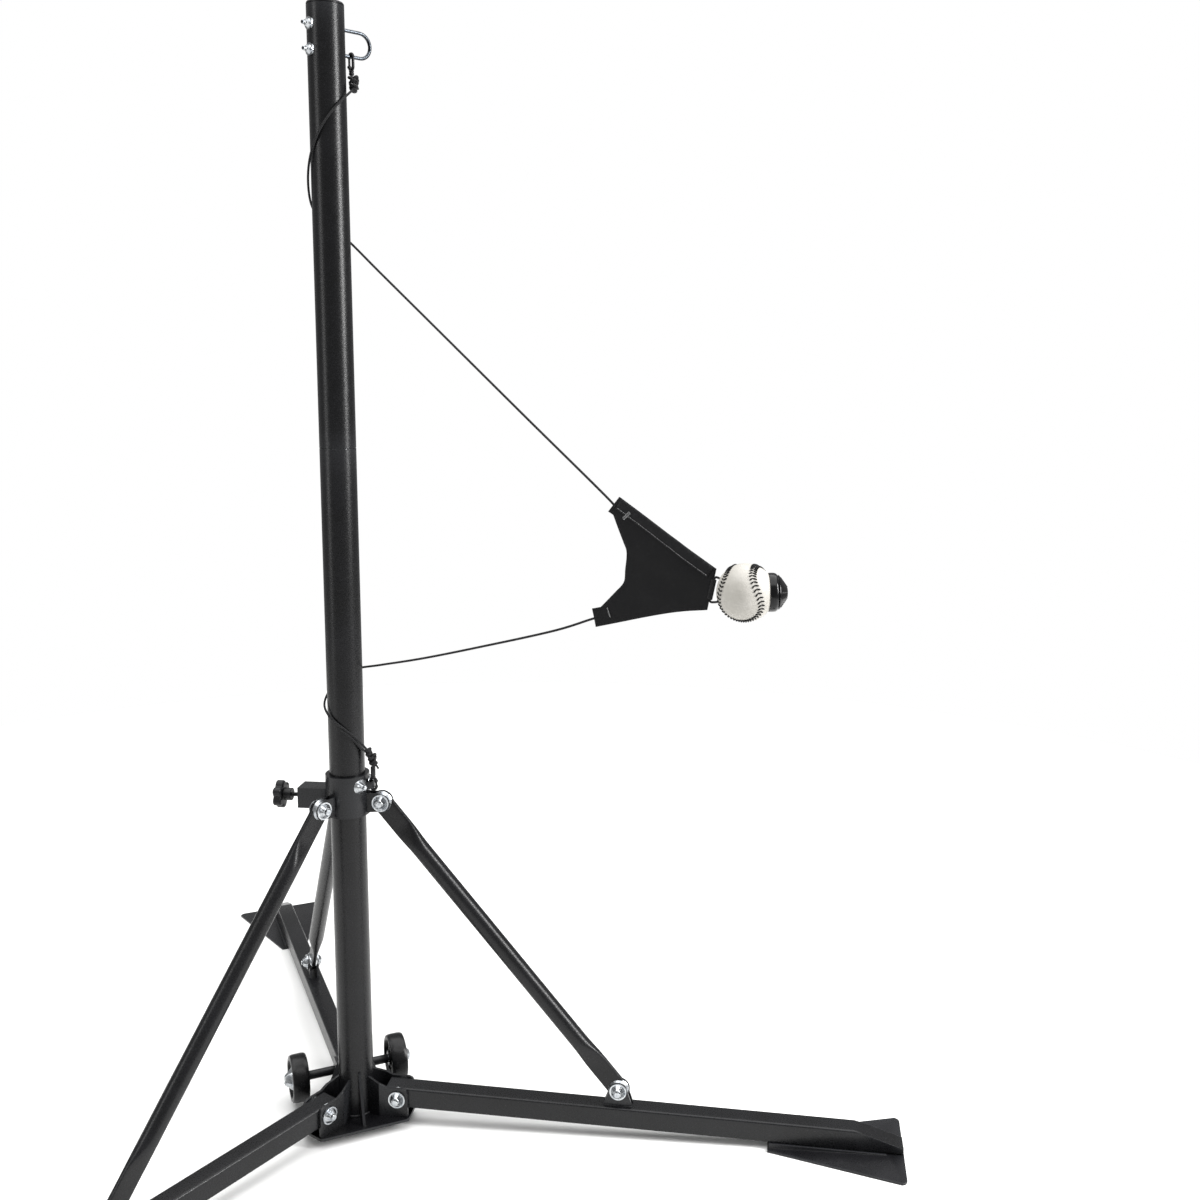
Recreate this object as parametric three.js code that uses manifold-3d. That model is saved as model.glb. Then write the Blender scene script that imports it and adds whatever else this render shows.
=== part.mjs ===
// Tethered-ball swing trainer: a two-piece pole on a folding three-leg stand with wheels, and a baseball
// held by a webbing sling on two cords that wrap once round the pole.
// Millimetres, +Z up. Origin: the pole's axis at floor level. Azimuths run from +X towards +Y.
import * as THREE from "three";
import { mergeVertices } from "three/addons/utils/BufferGeometryUtils.js";
import Module from "manifold-3d";

const wasm = await Module();
wasm.setup();

// ---- driving dimensions -------------------------------------------------------------------------------
const GAP = 0.3; // between pieces that touch
const RUN = 0.08; // radial clearance of a wheel on its axle

const POLE_OD = 50.8;
const POLE_WALL = 2;
const POLE_BOTTOM_Z = 17.3;
const POLE_JOINT_Z = 1009;
const POLE_TOP_Z = 1610;
const SPIGOT_HALF = 80;
const CAP_LIP = 4;
const CAP_PLUG = 22;

const LEG_AZ = [-6, -126, 114]; // front right, front left, rear
const LEG_W = 30;
const LEG_H = 30;
const LEG_WALL = 2;
const LEG_TILT = 2.01; // degrees below level
const LEG_PIVOT_R = 68;
const LEG_PIVOT_Z = 44.5;
const LEG_HEEL = 18; // behind the pivot
const LEG_REACH = 742; // pivot to tip
const LEG_BEVEL = 70; // length of the sloping tip
const LEG_TIP_H = 9;

const FOOT_T = 3;
const FOOT_OUT_R = LEG_PIVOT_R + LEG_REACH;
const FOOT_L = 195;
const FOOT_IN_R = FOOT_OUT_R - FOOT_L;
const FOOT_IN_W = 46;
const FOOT_OUT_W = 158;
const FOOT_CORNER = 9;

const PLATE_Z = 13;
const PLATE_T = 4;
const PLATE_R = 86; // from the axis to a short edge
const PLATE_SHORT = 44;
const EAR_T = 4;
const EAR_IN = LEG_W / 2 + 0.5; // from the leg's centre plane to the ear's inner face
const EAR_TOP_Z = 61;
const EAR_ROOT_Z = 74;
const FIN_T = 4;

const BRACE_D = 25.4;
const BRACE_BORE = 21.4;
const BRACE_FLAT_T = 8;
const BRACE_FLAT_W = 30;
const BRACE_FLAT_L = 44;
const BRACE_TAPER = 48;
const BRACE_FOOT = [327.8, 37.6]; // lower pin, along the leg and above its centre line
const COLLAR_PIN_Z = 494;
const LUG_IN = BRACE_FLAT_T / 2 + 0.5; // from the centre plane to a lug's inner face
const LUG_T = 3;
const LUG_R = 13;

const COLLAR_OD = POLE_OD + 12.2;
const COLLAR_ID = POLE_OD + 0.8;
const COLLAR_PIN_R = COLLAR_OD / 2 + 19.5;
const COLLAR_Z0 = 476;
const COLLAR_Z1 = 536;
const BOSS_AZ = 174;
const BOSS_W = 30;
const BOSS_R = COLLAR_OD / 2 + 39;
const BOSS_Z = 500;
const KNOB_D = 41;
const KNOB_GRIP = 12.5;
const KNOB_R0 = BOSS_R + 13.5;
const KNOB_HUB_D = 18;
const KNOB_HUB_L = 11;
const KNOB_LOBES = 6;
const STEM_D = 6;

const BOLT_D = 8;
const WASHER_D = 25;
const WASHER_T = 2;
const NUT_AF = 13;
const NUT_H = 6.5;

const AXLE_D = 10;
const WHEEL_D = 70;
const WHEEL_W = 25;
const WHEEL_IN = 62; // centre plane to the wheel's inner face
const SPACER_D = 13;

const EYE_AZ = 46;
const EYE_Z = 1566;
const EYE_PITCH = 34;
const EYE_WIRE = 5;
const EYE_OUT_R = 53; // axis to the bow's centre
const EYE_IN_R = 37; // axis to the threaded ends

const STRAP_AZ = -14; // eye strap on the collar
const STRAP_Z = 521;
const STRAP_H = 10;
const STRAP_T = 2;
const STRAP_OUT_R = COLLAR_OD / 2 + 10.5;
const STRAP_SCREW = 26; // degrees from the middle to each screw

const LINK_WIRE = 3.2;
const LINK_HALF_W = 4.5;
const LINK_L = 27;

const TETHER_AZ = -26; // way the sling points from the pole
const TETHER_OFF = 27.8; // sling plane to the pole's axis
const CORD_D = 3.2;
const SLING_T = 3;
const BALL_D = 73.4;
const BALL_AT = [610.2, 846.2]; // along the sling plane, height
const CAP_D = 51;
const CAP_H = 18;
const CAP_TURN = 28; // the ball hangs turned this far out of the sling's plane

// Sling outline in its own plane: distance from the pole, height.
const SLING = [
  [433.9, 957.2], [417.7, 937.5], [425.1, 933.3], [445.3, 886.2], [440.8, 845.2], [406.1, 810.6],
  [393.2, 807.4], [398.4, 783.1], [515.4, 813.5], [558.6, 819.8], [570.6, 873.0],
];
const HEM_HALF = 13;
const HEM_R = 3.4;

// Cord routes. Wrapped part: radius, azimuth, height. Free part: distance along the sling plane, height.
const CORD_UPPER_WRAP = [
  [39, 44, 1520.5], [38, 36, 1513], [35, 14, 1503], [31, -12, 1493], [28.6, -42, 1480], [28, -70, 1464],
  [28, -96, 1446], [28, -120, 1426], [28.3, -142, 1406], [29.2, -160, 1385], [29.2, -174, 1363],
  [28.4, -190, 1346], [27.9, -212, 1333], [27.8, -240, 1323], [27.8, -268, 1313],
];
const CORD_UPPER_FREE = [[2, 1301.4], [60, 1252.8], [160, 1169.2], [290, 1060.4], [420.9, 951.3]];
const CORD_LOWER_WRAP = [
  [41.5, -14, 545], [40, -10, 554], [37, -14, 566], [32.5, -32, 582], [28.8, -54, 596], [28, -80, 608],
  [28, -110, 619], [28.4, -140, 629], [29.4, -163, 638], [28.6, -185, 647], [27.9, -212, 657],
  [27.8, -245, 668], [27.8, -275, 678],
];
const CORD_LOWER_FREE = [[2, 684.5], [40, 693.4], [114, 710.6], [216, 738], [344, 775], [388.5, 791.7]];

// ---- helpers ------------------------------------------------------------------------------------------
const rad = (deg) => (deg * Math.PI) / 180;
const POLE_R = POLE_OD / 2;
const group = new THREE.Group();

function solid(geometry) {
  const bare = geometry.index ? geometry.toNonIndexed() : geometry.clone();
  bare.deleteAttribute("normal");
  bare.deleteAttribute("uv");
  const merged = mergeVertices(bare, 1e-4);
  const tri = [];
  const index = merged.index.array;
  for (let i = 0; i < index.length; i += 3) {
    const [a, b, c] = [index[i], index[i + 1], index[i + 2]];
    if (a !== b && b !== c && c !== a) tri.push(a, b, c);
  }
  const mesh = new wasm.Mesh({
    numProp: 3,
    vertProperties: new Float32Array(merged.attributes.position.array),
    triVerts: new Uint32Array(tri),
  });
  return new wasm.Manifold(mesh);
}

function toGeometry(manifold) {
  const mesh = manifold.getMesh();
  const geometry = new THREE.BufferGeometry();
  geometry.setAttribute("position", new THREE.BufferAttribute(new Float32Array(mesh.vertProperties), 3));
  geometry.setIndex(new THREE.BufferAttribute(new Uint32Array(mesh.triVerts), 1));
  geometry.computeVertexNormals();
  return geometry;
}

const join = (first, ...rest) => rest.reduce((sum, next) => sum.add(next), first);
const cut = (first, ...rest) => rest.reduce((left, next) => left.subtract(next), first);

// Box given by its low and high corners.
function box(low, high) {
  const size = low.map((value, i) => high[i] - value);
  const geometry = new THREE.BoxGeometry(...size);
  geometry.translate(...low.map((value, i) => value + size[i] / 2));
  return solid(geometry);
}

// Cylinder between two points.
function rod(from, to, radius, segments = 14) {
  const a = new THREE.Vector3(...from);
  const b = new THREE.Vector3(...to);
  const geometry = new THREE.CylinderGeometry(radius, radius, a.distanceTo(b), segments);
  const turn = new THREE.Quaternion().setFromUnitVectors(
    new THREE.Vector3(0, 1, 0), b.clone().sub(a).normalize());
  geometry.applyQuaternion(turn);
  geometry.translate(...a.add(b).multiplyScalar(0.5).toArray());
  return solid(geometry);
}

function outline(points) {
  return new THREE.Shape(points.map(([x, y]) => new THREE.Vector2(x, y)));
}

// Outline in X and Y, standing from z0 to z1.
function slab(points, z0, z1) {
  const geometry = new THREE.ExtrudeGeometry(outline(points), { depth: z1 - z0, bevelEnabled: false });
  geometry.translate(0, 0, z0);
  return solid(geometry);
}

// Outline in X and Z, running from y0 to y1.
function wall(points, y0, y1) {
  const geometry = new THREE.ExtrudeGeometry(outline(points), { depth: y1 - y0, bevelEnabled: false });
  geometry.rotateX(Math.PI / 2);
  geometry.translate(0, y1, 0);
  return solid(geometry);
}

// Profile of radius and height, turned round the Z axis.
function turned(profile, segments = 36) {
  return solid(new THREE.LatheGeometry(profile.map(([r, z]) => new THREE.Vector2(r, z)), segments)
    .rotateX(Math.PI / 2));
}

function arc(cx, cy, radius, from, to, steps) {
  const points = [];
  for (let i = 0; i <= steps; i += 1) {
    const angle = rad(from + ((to - from) * i) / steps);
    points.push([cx + radius * Math.cos(angle), cy + radius * Math.sin(angle)]);
  }
  return points;
}

function add(name, shape, color, roughness, metalness, parent = group) {
  const material = new THREE.MeshStandardMaterial({ color, roughness, metalness });
  const mesh = new THREE.Mesh(shape.isBufferGeometry ? shape : toGeometry(shape), material);
  mesh.name = name;
  parent.add(mesh);
  return mesh;
}

const black = (name, shape, parent) => add(name, shape, 0x242526, 0.38, 0.2, parent);
const zinc = (name, shape, parent) => add(name, shape, 0xc9ccd0, 0.25, 1, parent);
const plastic = (name, shape, parent) => add(name, shape, 0x17181a, 0.45, 0, parent);
const cloth = (name, shape, parent) => add(name, shape, 0x16171a, 0.9, 0, parent);

// Group turned to an azimuth, whose X axis points away from the pole.
function ray(azimuth) {
  const holder = new THREE.Group();
  holder.rotation.z = rad(azimuth);
  group.add(holder);
  return holder;
}

// ---- pole ---------------------------------------------------------------------------------------------
function tube(outer, inner, z0, z1) {
  return cut(rod([0, 0, z0], [0, 0, z1], outer, 36), rod([0, 0, z0 - 1], [0, 0, z1 + 1], inner, 36));
}

const bore = POLE_R - POLE_WALL;
const eyeHigh = EYE_Z + EYE_PITCH / 2;
const eyeLow = EYE_Z - EYE_PITCH / 2;
const eyeDirection = [Math.cos(rad(EYE_AZ)), Math.sin(rad(EYE_AZ))];
const acrossPole = (z, radius) => rod(
  [-60 * eyeDirection[0], -60 * eyeDirection[1], z], [60 * eyeDirection[0], 60 * eyeDirection[1], z], radius);

black("pole_lower", tube(POLE_R, bore, POLE_BOTTOM_Z, POLE_JOINT_Z - GAP / 2));
black("pole_upper", cut(
  tube(POLE_R, bore, POLE_JOINT_Z + GAP / 2, POLE_TOP_Z),
  acrossPole(eyeHigh, EYE_WIRE / 2 + GAP),
  acrossPole(eyeLow, EYE_WIRE / 2 + GAP)));
zinc("pole_spigot", tube(bore - GAP, bore - GAP - 2, POLE_JOINT_Z - SPIGOT_HALF, POLE_JOINT_Z + SPIGOT_HALF));
const capBase = POLE_TOP_Z + GAP;
plastic("pole_cap", turned([
  [0, capBase - CAP_PLUG], [bore - GAP, capBase - CAP_PLUG], [bore - GAP, capBase], [POLE_R, capBase],
  [POLE_R, capBase + CAP_LIP * 0.4], [POLE_R - 1.2, capBase + CAP_LIP * 0.8],
  [POLE_R - 4, capBase + CAP_LIP], [0, capBase + CAP_LIP + 0.8],
]));

// ---- base frame ---------------------------------------------------------------------------------------
const plateTop = PLATE_Z + PLATE_T;
const plateOutline = [];
const platePoint = (azimuth, x, y) => [
  x * Math.cos(rad(azimuth)) - y * Math.sin(rad(azimuth)),
  x * Math.sin(rad(azimuth)) + y * Math.cos(rad(azimuth)),
];
for (const azimuth of [LEG_AZ[1], LEG_AZ[0], LEG_AZ[2]]) {
  const corner = 8;
  for (const [cx, cy, from] of [[PLATE_R - corner, -PLATE_SHORT / 2 + corner / 2, -60],
    [PLATE_R - corner, PLATE_SHORT / 2 - corner / 2, 0]]) {
    plateOutline.push(...arc(cx, cy, corner, from, from + 60, 4).map(([x, y]) => platePoint(azimuth, x, y)));
  }
}
const poleRoom = rod([0, 0, plateTop], [0, 0, 120], POLE_R + GAP, 36);
let base = slab(plateOutline, PLATE_Z, plateTop);
const earOut = EAR_IN + EAR_T;
for (const azimuth of LEG_AZ) {
  for (const side of [-1, 1]) {
    const y0 = Math.min(side * EAR_IN, side * earOut);
    const y1 = Math.max(side * EAR_IN, side * earOut);
    const ear = wall([
      [41, plateTop - 1], [PLATE_R - 2, plateTop - 1], [PLATE_R - 2, EAR_TOP_Z - 8],
      [PLATE_R - 4.3, EAR_TOP_Z - 2.3], [PLATE_R - 10, EAR_TOP_Z], [52, EAR_TOP_Z + 1], [41, EAR_TOP_Z + 6],
    ], y0, y1);
    const flare = slab([[20, side * 9], [20, side * 13], [41.5, side * earOut], [41.5, side * EAR_IN]]
      .slice().reverse(), plateTop - 1, EAR_ROOT_Z + 6);
    const slope = wall([[10, EAR_ROOT_Z + 7], [10, EAR_ROOT_Z + 6], [42.5, EAR_TOP_Z + 5.2], [42.5, 95], [10, 95]]
      .slice(1), -30, 30);
    const pinHole = rod([LEG_PIVOT_R, y0 - 1, LEG_PIVOT_Z], [LEG_PIVOT_R, y1 + 1, LEG_PIVOT_Z], 4.3, 14);
    const holeR = azimuth === LEG_AZ[2] ? AXLE_D / 2 + GAP : BOLT_D / 2 + GAP;
    const hole = rod([LEG_PIVOT_R, y0 - 1, LEG_PIVOT_Z], [LEG_PIVOT_R, y1 + 1, LEG_PIVOT_Z], holeR, 14);
    const bracket = cut(join(ear, cut(flare, slope)), holeR > 4.4 ? hole : pinHole);
    base = join(base, bracket.rotate([0, 0, azimuth]));
  }
}
for (const azimuth of LEG_AZ) {
  const fin = wall([[20, plateTop - 1], [56, plateTop - 1], [54, plateTop + 5], [29, 84], [20, 86]],
    -FIN_T / 2, FIN_T / 2);
  base = join(base, fin.rotate([0, 0, azimuth + 60]));
}
black("base_frame", cut(base, poleRoom));

// ---- legs, feet and braces ----------------------------------------------------------------------------
const legPivot = (az) => {
  const holder = new THREE.Group();
  holder.position.set(LEG_PIVOT_R, 0, LEG_PIVOT_Z);
  ray(az).add(holder);
  return holder;
};

function ringHole(x, z, radius) {
  return rod([x, -60, z], [x, 60, z], radius, 12);
}

// Lug plate with a round end about a pin.
function lug(points, x, z, from, to) {
  return points.concat(arc(x, z, LUG_R, from, to, 10));
}

function legShape(pinR) {
  const half = LEG_H / 2;
  const shell = wall([
    [-LEG_HEEL, -half], [LEG_REACH, -half], [LEG_REACH, -half + LEG_TIP_H], [LEG_REACH - LEG_BEVEL, half],
    [-LEG_HEEL, half],
  ], -LEG_W / 2, LEG_W / 2);
  const inside = box(
    [-LEG_HEEL - 1, -LEG_W / 2 + LEG_WALL, -half + LEG_WALL],
    [LEG_REACH - LEG_BEVEL - 12, LEG_W / 2 - LEG_WALL, half - LEG_WALL]);
  const [px, pz] = BRACE_FOOT;
  const ears = [-1, 1].map((side) => wall(
    lug([[px - 22, half - 1], [px + 22, half - 1]], px, pz, 10, 170),
    Math.min(side * LUG_IN, side * (LUG_IN + LUG_T)), Math.max(side * LUG_IN, side * (LUG_IN + LUG_T))));
  return cut(join(cut(shell, inside), ...ears), ringHole(0, 0, pinR), ringHole(px, pz, BOLT_D / 2 + GAP));
}

function footShape() {
  const [hi, ho, c] = [FOOT_IN_W / 2, FOOT_OUT_W / 2, FOOT_CORNER];
  const flat = slab([
    [FOOT_IN_R, -hi], ...arc(FOOT_OUT_R - c, -ho + c, c, -80, 0, 4),
    ...arc(FOOT_OUT_R - c, ho - c, c, 0, 80, 4), [FOOT_IN_R, hi],
  ], 0, FOOT_T);
  const under = (r) => LEG_PIVOT_Z - (LEG_H / 2) / Math.cos(rad(LEG_TILT))
    - (r - LEG_PIVOT_R) * Math.tan(rad(LEG_TILT)) - GAP;
  const r0 = FOOT_IN_R + 2;
  const r1 = FOOT_OUT_R - 25;
  const saddle = wall([[r0, FOOT_T - 1], [r1, FOOT_T - 1], [r1, under(r1)], [r0, under(r0)]],
    -LEG_W / 2 - 2, LEG_W / 2 + 2);
  return join(flat, saddle);
}

// Round tube whose two ends are pressed flat, with its pin holes at x = 0 and x = length.
function braceShape(length) {
  const over = BRACE_FLAT_W / 2;
  const total = length + 2 * over;
  const section = new THREE.Shape();
  section.absarc(0, 0, 1, 0, 2 * Math.PI, false);
  const stations = [0, over + BRACE_FLAT_L];
  for (let i = 1; i <= 4; i += 1) stations.push(over + BRACE_FLAT_L + (BRACE_TAPER * i) / 4);
  const all = stations.concat(stations.map((value) => total - value).reverse());
  const geometry = new THREE.ExtrudeGeometry(section, {
    depth: all.length - 1, steps: all.length - 1, bevelEnabled: false, curveSegments: 10,
  });
  const at = geometry.attributes.position;
  for (let i = 0; i < at.count; i += 1) {
    const along = all[Math.round(at.getZ(i))];
    const fromEnd = Math.min(along, total - along) - over - BRACE_FLAT_L;
    const t = Math.min(Math.max(fromEnd / BRACE_TAPER, 0), 1);
    const round = t * t * (3 - 2 * t);
    const a = BRACE_FLAT_W / 2 + (BRACE_D / 2 - BRACE_FLAT_W / 2) * round;
    const b = BRACE_FLAT_T / 2 + (BRACE_D / 2 - BRACE_FLAT_T / 2) * round;
    const power = 0.3 + 0.7 * round;
    const [c, s] = [at.getX(i), at.getY(i)];
    const wide = -a * Math.sign(c) * Math.abs(c) ** (0.5 + 0.5 * round);
    const thick = b * Math.sign(s) * Math.abs(s) ** power;
    at.setXYZ(i, along - over, thick, wide);
  }
  const ends = wall([
    ...arc(0, 0, over, 90, 270, 10), ...arc(length, 0, over, -90, 90, 10),
  ], -30, 30);
  const hollow = rod([BRACE_FLAT_L + BRACE_TAPER + 8, 0, 0], [length - BRACE_FLAT_L - BRACE_TAPER - 8, 0, 0],
    BRACE_BORE / 2, 20);
  const drain = rod([length / 2, 0, -20], [length / 2, 0, 0], 2.5, 10);
  return cut(solid(geometry).intersect(ends), hollow, drain,
    ringHole(0, 0, BOLT_D / 2 + GAP), ringHole(length, 0, BOLT_D / 2 + GAP));
}

// Hexagon across the Y axis, from y0 to y1.
function hexagon(x, z, y0, y1, flats = NUT_AF) {
  const radius = flats / Math.sqrt(3);
  return wall(arc(x, z, radius, 0, 300, 5), Math.min(y0, y1), Math.max(y0, y1));
}

// Bolt along Y with a washer under its head. face is the ear's outer face, side the head's side.
function boltShape(x, z, face, side, shank) {
  const y = (value) => side * value;
  const parts = [
    rod([x, y(face + GAP), z], [x, y(face + GAP + WASHER_T), z], WASHER_D / 2, 18),
    hexagon(x, z, y(face + GAP + WASHER_T - 0.2), y(face + GAP + WASHER_T + 5.3)),
    rod([x, y(face + GAP + 1), z], [x, y(shank), z], BOLT_D / 2, 12),
  ];
  return join(...parts);
}

// Nut and washer on the far end of such a bolt. boltEnd leaves a hole for a bolt that runs through.
function nutShape(x, z, face, side, through = true) {
  const y = (value) => side * value;
  const outer = face + GAP + WASHER_T + NUT_H;
  const body = join(
    rod([x, y(face + GAP), z], [x, y(face + GAP + WASHER_T), z], WASHER_D / 2, 18),
    hexagon(x, z, y(face + GAP + WASHER_T - 0.2), y(outer)));
  if (!through) {
    return join(body, rod([x, y(face + 1), z], [x, y(outer + 2), z], BOLT_D / 2, 12),
      rod([x, y(face - LUG_T + 0.2), z], [x, y(face + 1.5), z], BOLT_D / 2, 12));
  }
  return cut(body, rod([x, y(0), z], [x, y(outer + 3), z], BOLT_D / 2 + GAP, 12));
}

const tilt = rad(LEG_TILT);
const footPinR = LEG_PIVOT_R + BRACE_FOOT[0] * Math.cos(tilt) + BRACE_FOOT[1] * Math.sin(tilt);
const footPinZ = LEG_PIVOT_Z - BRACE_FOOT[0] * Math.sin(tilt) + BRACE_FOOT[1] * Math.cos(tilt);
const braceLength = Math.hypot(footPinR - COLLAR_PIN_R, footPinZ - COLLAR_PIN_Z);
const braceAngle = Math.atan2(COLLAR_PIN_Z - footPinZ, COLLAR_PIN_R - footPinR);
const lugOut = LUG_IN + LUG_T;
const nutSides = [-1, 1, 1]; // side of each leg that its nuts are on
const footGeometry = footShape();
const braceGeometry = braceShape(braceLength);

LEG_AZ.forEach((azimuth, i) => {
  const n = i + 1;
  const side = nutSides[i];
  const frame = legPivot(azimuth);
  frame.rotation.y = tilt;
  black(`leg_${n}`, legShape((i === 2 ? AXLE_D : BOLT_D) / 2 + GAP), frame);
  const [px, pz] = BRACE_FOOT;
  zinc(`brace_bolt_${n}`, boltShape(px, pz, lugOut, -side, -(lugOut + GAP + WASHER_T + NUT_H + 2)), frame);
  zinc(`brace_nut_${n}`, nutShape(px, pz, lugOut, side), frame);
  const level = ray(azimuth);
  black(`foot_${n}`, footGeometry, level);
  if (i < 2) {
    const shank = -(earOut + GAP + WASHER_T + NUT_H + 2);
    zinc(`leg_bolt_${n}`, boltShape(LEG_PIVOT_R, LEG_PIVOT_Z, earOut, -side, shank), level);
    zinc(`leg_nut_${n}`, nutShape(LEG_PIVOT_R, LEG_PIVOT_Z, earOut, side), level);
  }
  const arm = new THREE.Group();
  arm.position.set(footPinR, 0, footPinZ);
  arm.rotation.y = -braceAngle;
  level.add(arm);
  black(`brace_${n}`, braceGeometry, arm);
  const stub = -(lugOut - LUG_T + 0.2);
  zinc(`collar_bolt_${n}`, cut(boltShape(COLLAR_PIN_R, COLLAR_PIN_Z, lugOut, -side, -60),
    box([COLLAR_PIN_R - 20, side > 0 ? stub : -60, COLLAR_PIN_Z - 20],
      [COLLAR_PIN_R + 20, side > 0 ? 60 : -stub, COLLAR_PIN_Z + 20])), level);
  zinc(`collar_nut_${n}`, nutShape(COLLAR_PIN_R, COLLAR_PIN_Z, lugOut, side, false), level);
});

// ---- axle and wheels on the rear leg's pivot ----------------------------------------------------------
const rear = ray(LEG_AZ[2]);
const axlePoint = (y) => [LEG_PIVOT_R, y, LEG_PIVOT_Z];
const wheelOut = WHEEL_IN + WHEEL_W;
zinc("axle", rod(axlePoint(-wheelOut - 8), axlePoint(wheelOut + 8), AXLE_D / 2, 18), rear);
function wheelShape() {
  const half = WHEEL_W / 2;
  const r = WHEEL_D / 2;
  const inner = AXLE_D / 2 + RUN;
  const profile = [
    [inner, -half], [11, -half], [11, -half + 7], [r - 8, -half + 7], [r - 7, -half], [r - 2.5, -half],
    [r, -half + 2.5], [r, half - 2.5], [r - 2.5, half], [r - 7, half], [r - 8, half - 7],
    [11, half - 7], [11, half], [inner, half], [inner, -half],
  ];
  const geometry = new THREE.LatheGeometry(profile.map(([x, y]) => new THREE.Vector2(x, y)), 28);
  return toGeometry(solid(geometry));
}
const wheelGeometry = wheelShape();
[1, -1].forEach((side, i) => {
  const wheel = plastic(`wheel_${i + 1}`, wheelGeometry, rear);
  wheel.position.set(LEG_PIVOT_R, side * (WHEEL_IN + WHEEL_W / 2), LEG_PIVOT_Z);
  black(`axle_spacer_${i + 1}`, cut(
    rod(axlePoint(side * (earOut + GAP)), axlePoint(side * (WHEEL_IN - GAP)), SPACER_D / 2, 18),
    rod(axlePoint(side * 5), axlePoint(side * 80), AXLE_D / 2 + GAP, 18)), rear);
  zinc(`axle_nut_${i + 1}`, cut(
    join(rod(axlePoint(side * (wheelOut + GAP)), axlePoint(side * (wheelOut + 1.8)), 10, 18),
      hexagon(LEG_PIVOT_R, LEG_PIVOT_Z, side * (wheelOut + 1.6), side * (wheelOut + 8), 15)),
    rod(axlePoint(side * 70), axlePoint(side * 110), AXLE_D / 2 + GAP, 18)), rear);
});

// ---- sliding collar -----------------------------------------------------------------------------------
const sleeve = cut(
  rod([0, 0, COLLAR_Z0], [0, 0, COLLAR_Z1], COLLAR_OD / 2, 36),
  rod([0, 0, COLLAR_Z0 - 1], [0, 0, COLLAR_Z1 + 1], COLLAR_ID / 2, 36));
let collar = sleeve;
for (const azimuth of LEG_AZ) {
  for (const side of [-1, 1]) {
    const plate = wall(
      lug([[27.5, COLLAR_PIN_Z + 14], [27.5, COLLAR_PIN_Z - 15]], COLLAR_PIN_R, COLLAR_PIN_Z, -90, 90),
      Math.min(side * LUG_IN, side * lugOut), Math.max(side * LUG_IN, side * lugOut));
    const drilled = cut(plate, ringHole(COLLAR_PIN_R, COLLAR_PIN_Z, BOLT_D / 2 + GAP));
    collar = join(collar, drilled.rotate([0, 0, azimuth]));
  }
}
const boss = box([28, -BOSS_W / 2, BOSS_Z - BOSS_W / 2], [BOSS_R, BOSS_W / 2, BOSS_Z + BOSS_W / 2]);
collar = cut(
  join(collar, boss.rotate([0, 0, BOSS_AZ])),
  rod([0, 0, COLLAR_Z0 - 1], [0, 0, COLLAR_Z1 + 1], COLLAR_ID / 2, 36),
  rod([0, 0, BOSS_Z], [BOSS_R + 5, 0, BOSS_Z], STEM_D / 2 + GAP, 16).rotate([0, 0, BOSS_AZ]));
for (const side of [-1, 1]) {
  collar = cut(collar, rod([10, 0, STRAP_Z], [50, 0, STRAP_Z], 2.8, 12)
    .rotate([0, 0, STRAP_AZ + side * STRAP_SCREW]));
}
black("collar", collar);

const knobFrame = ray(BOSS_AZ);
zinc("knob_screw", rod([POLE_R + GAP, 0, BOSS_Z], [KNOB_R0 + 18, 0, BOSS_Z], STEM_D / 2, 16), knobFrame);
function knobShape() {
  const r = KNOB_D / 2;
  const lobes = [];
  for (let i = 0; i < KNOB_LOBES * 8; i += 1) {
    const angle = (2 * Math.PI * i) / (KNOB_LOBES * 8);
    const swell = 0.5 + 0.5 * Math.cos(KNOB_LOBES * angle);
    const radius = r - 5 * (1 - swell ** 0.6);
    lobes.push([radius * Math.cos(angle), radius * Math.sin(angle)]);
  }
  const grip = new THREE.ExtrudeGeometry(outline(lobes), {
    depth: KNOB_GRIP - 4, bevelEnabled: true, bevelThickness: 2, bevelSize: 1.5, bevelOffset: -1.5,
    bevelSegments: 1, curveSegments: 1,
  });
  grip.translate(0, 0, 2 + KNOB_HUB_L);
  const hub = rod([0, 0, 0], [0, 0, KNOB_HUB_L + 3], KNOB_HUB_D / 2, 24);
  const hole = rod([0, 0, -1], [0, 0, 18.5], STEM_D / 2 + GAP, 16);
  return cut(join(solid(grip), hub), hole);
}
const knob = plastic("knob", knobShape(), knobFrame);
knob.position.set(KNOB_R0, 0, BOSS_Z);
knob.rotation.y = Math.PI / 2;

// Eye strap: hugs the collar at both ends and bows out between them.
const strapFrame = ray(STRAP_AZ);
function strapShape() {
  const skin = COLLAR_OD / 2 + GAP;
  const inner = [];
  const outer = [];
  for (let i = 0; i <= 20; i += 1) {
    const angle = -38 + (76 * i) / 20;
    const t = Math.min(Math.max((15 - Math.abs(angle)) / 9, 0), 1);
    const lift = (STRAP_OUT_R - STRAP_T - skin) * t * t * (3 - 2 * t);
    inner.push([(skin + lift) * Math.cos(rad(angle)), (skin + lift) * Math.sin(rad(angle))]);
    const r = skin + lift + STRAP_T;
    outer.push([r * Math.cos(rad(angle)), r * Math.sin(rad(angle))]);
  }
  const strip = slab(outer.concat(inner.reverse()), STRAP_Z - STRAP_H / 2, STRAP_Z + STRAP_H / 2);
  const holes = [-1, 1].map((side) => rod([10, 0, STRAP_Z], [50, 0, STRAP_Z], 2.8, 12)
    .rotate([0, 0, side * STRAP_SCREW]));
  return cut(strip, ...holes);
}
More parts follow.
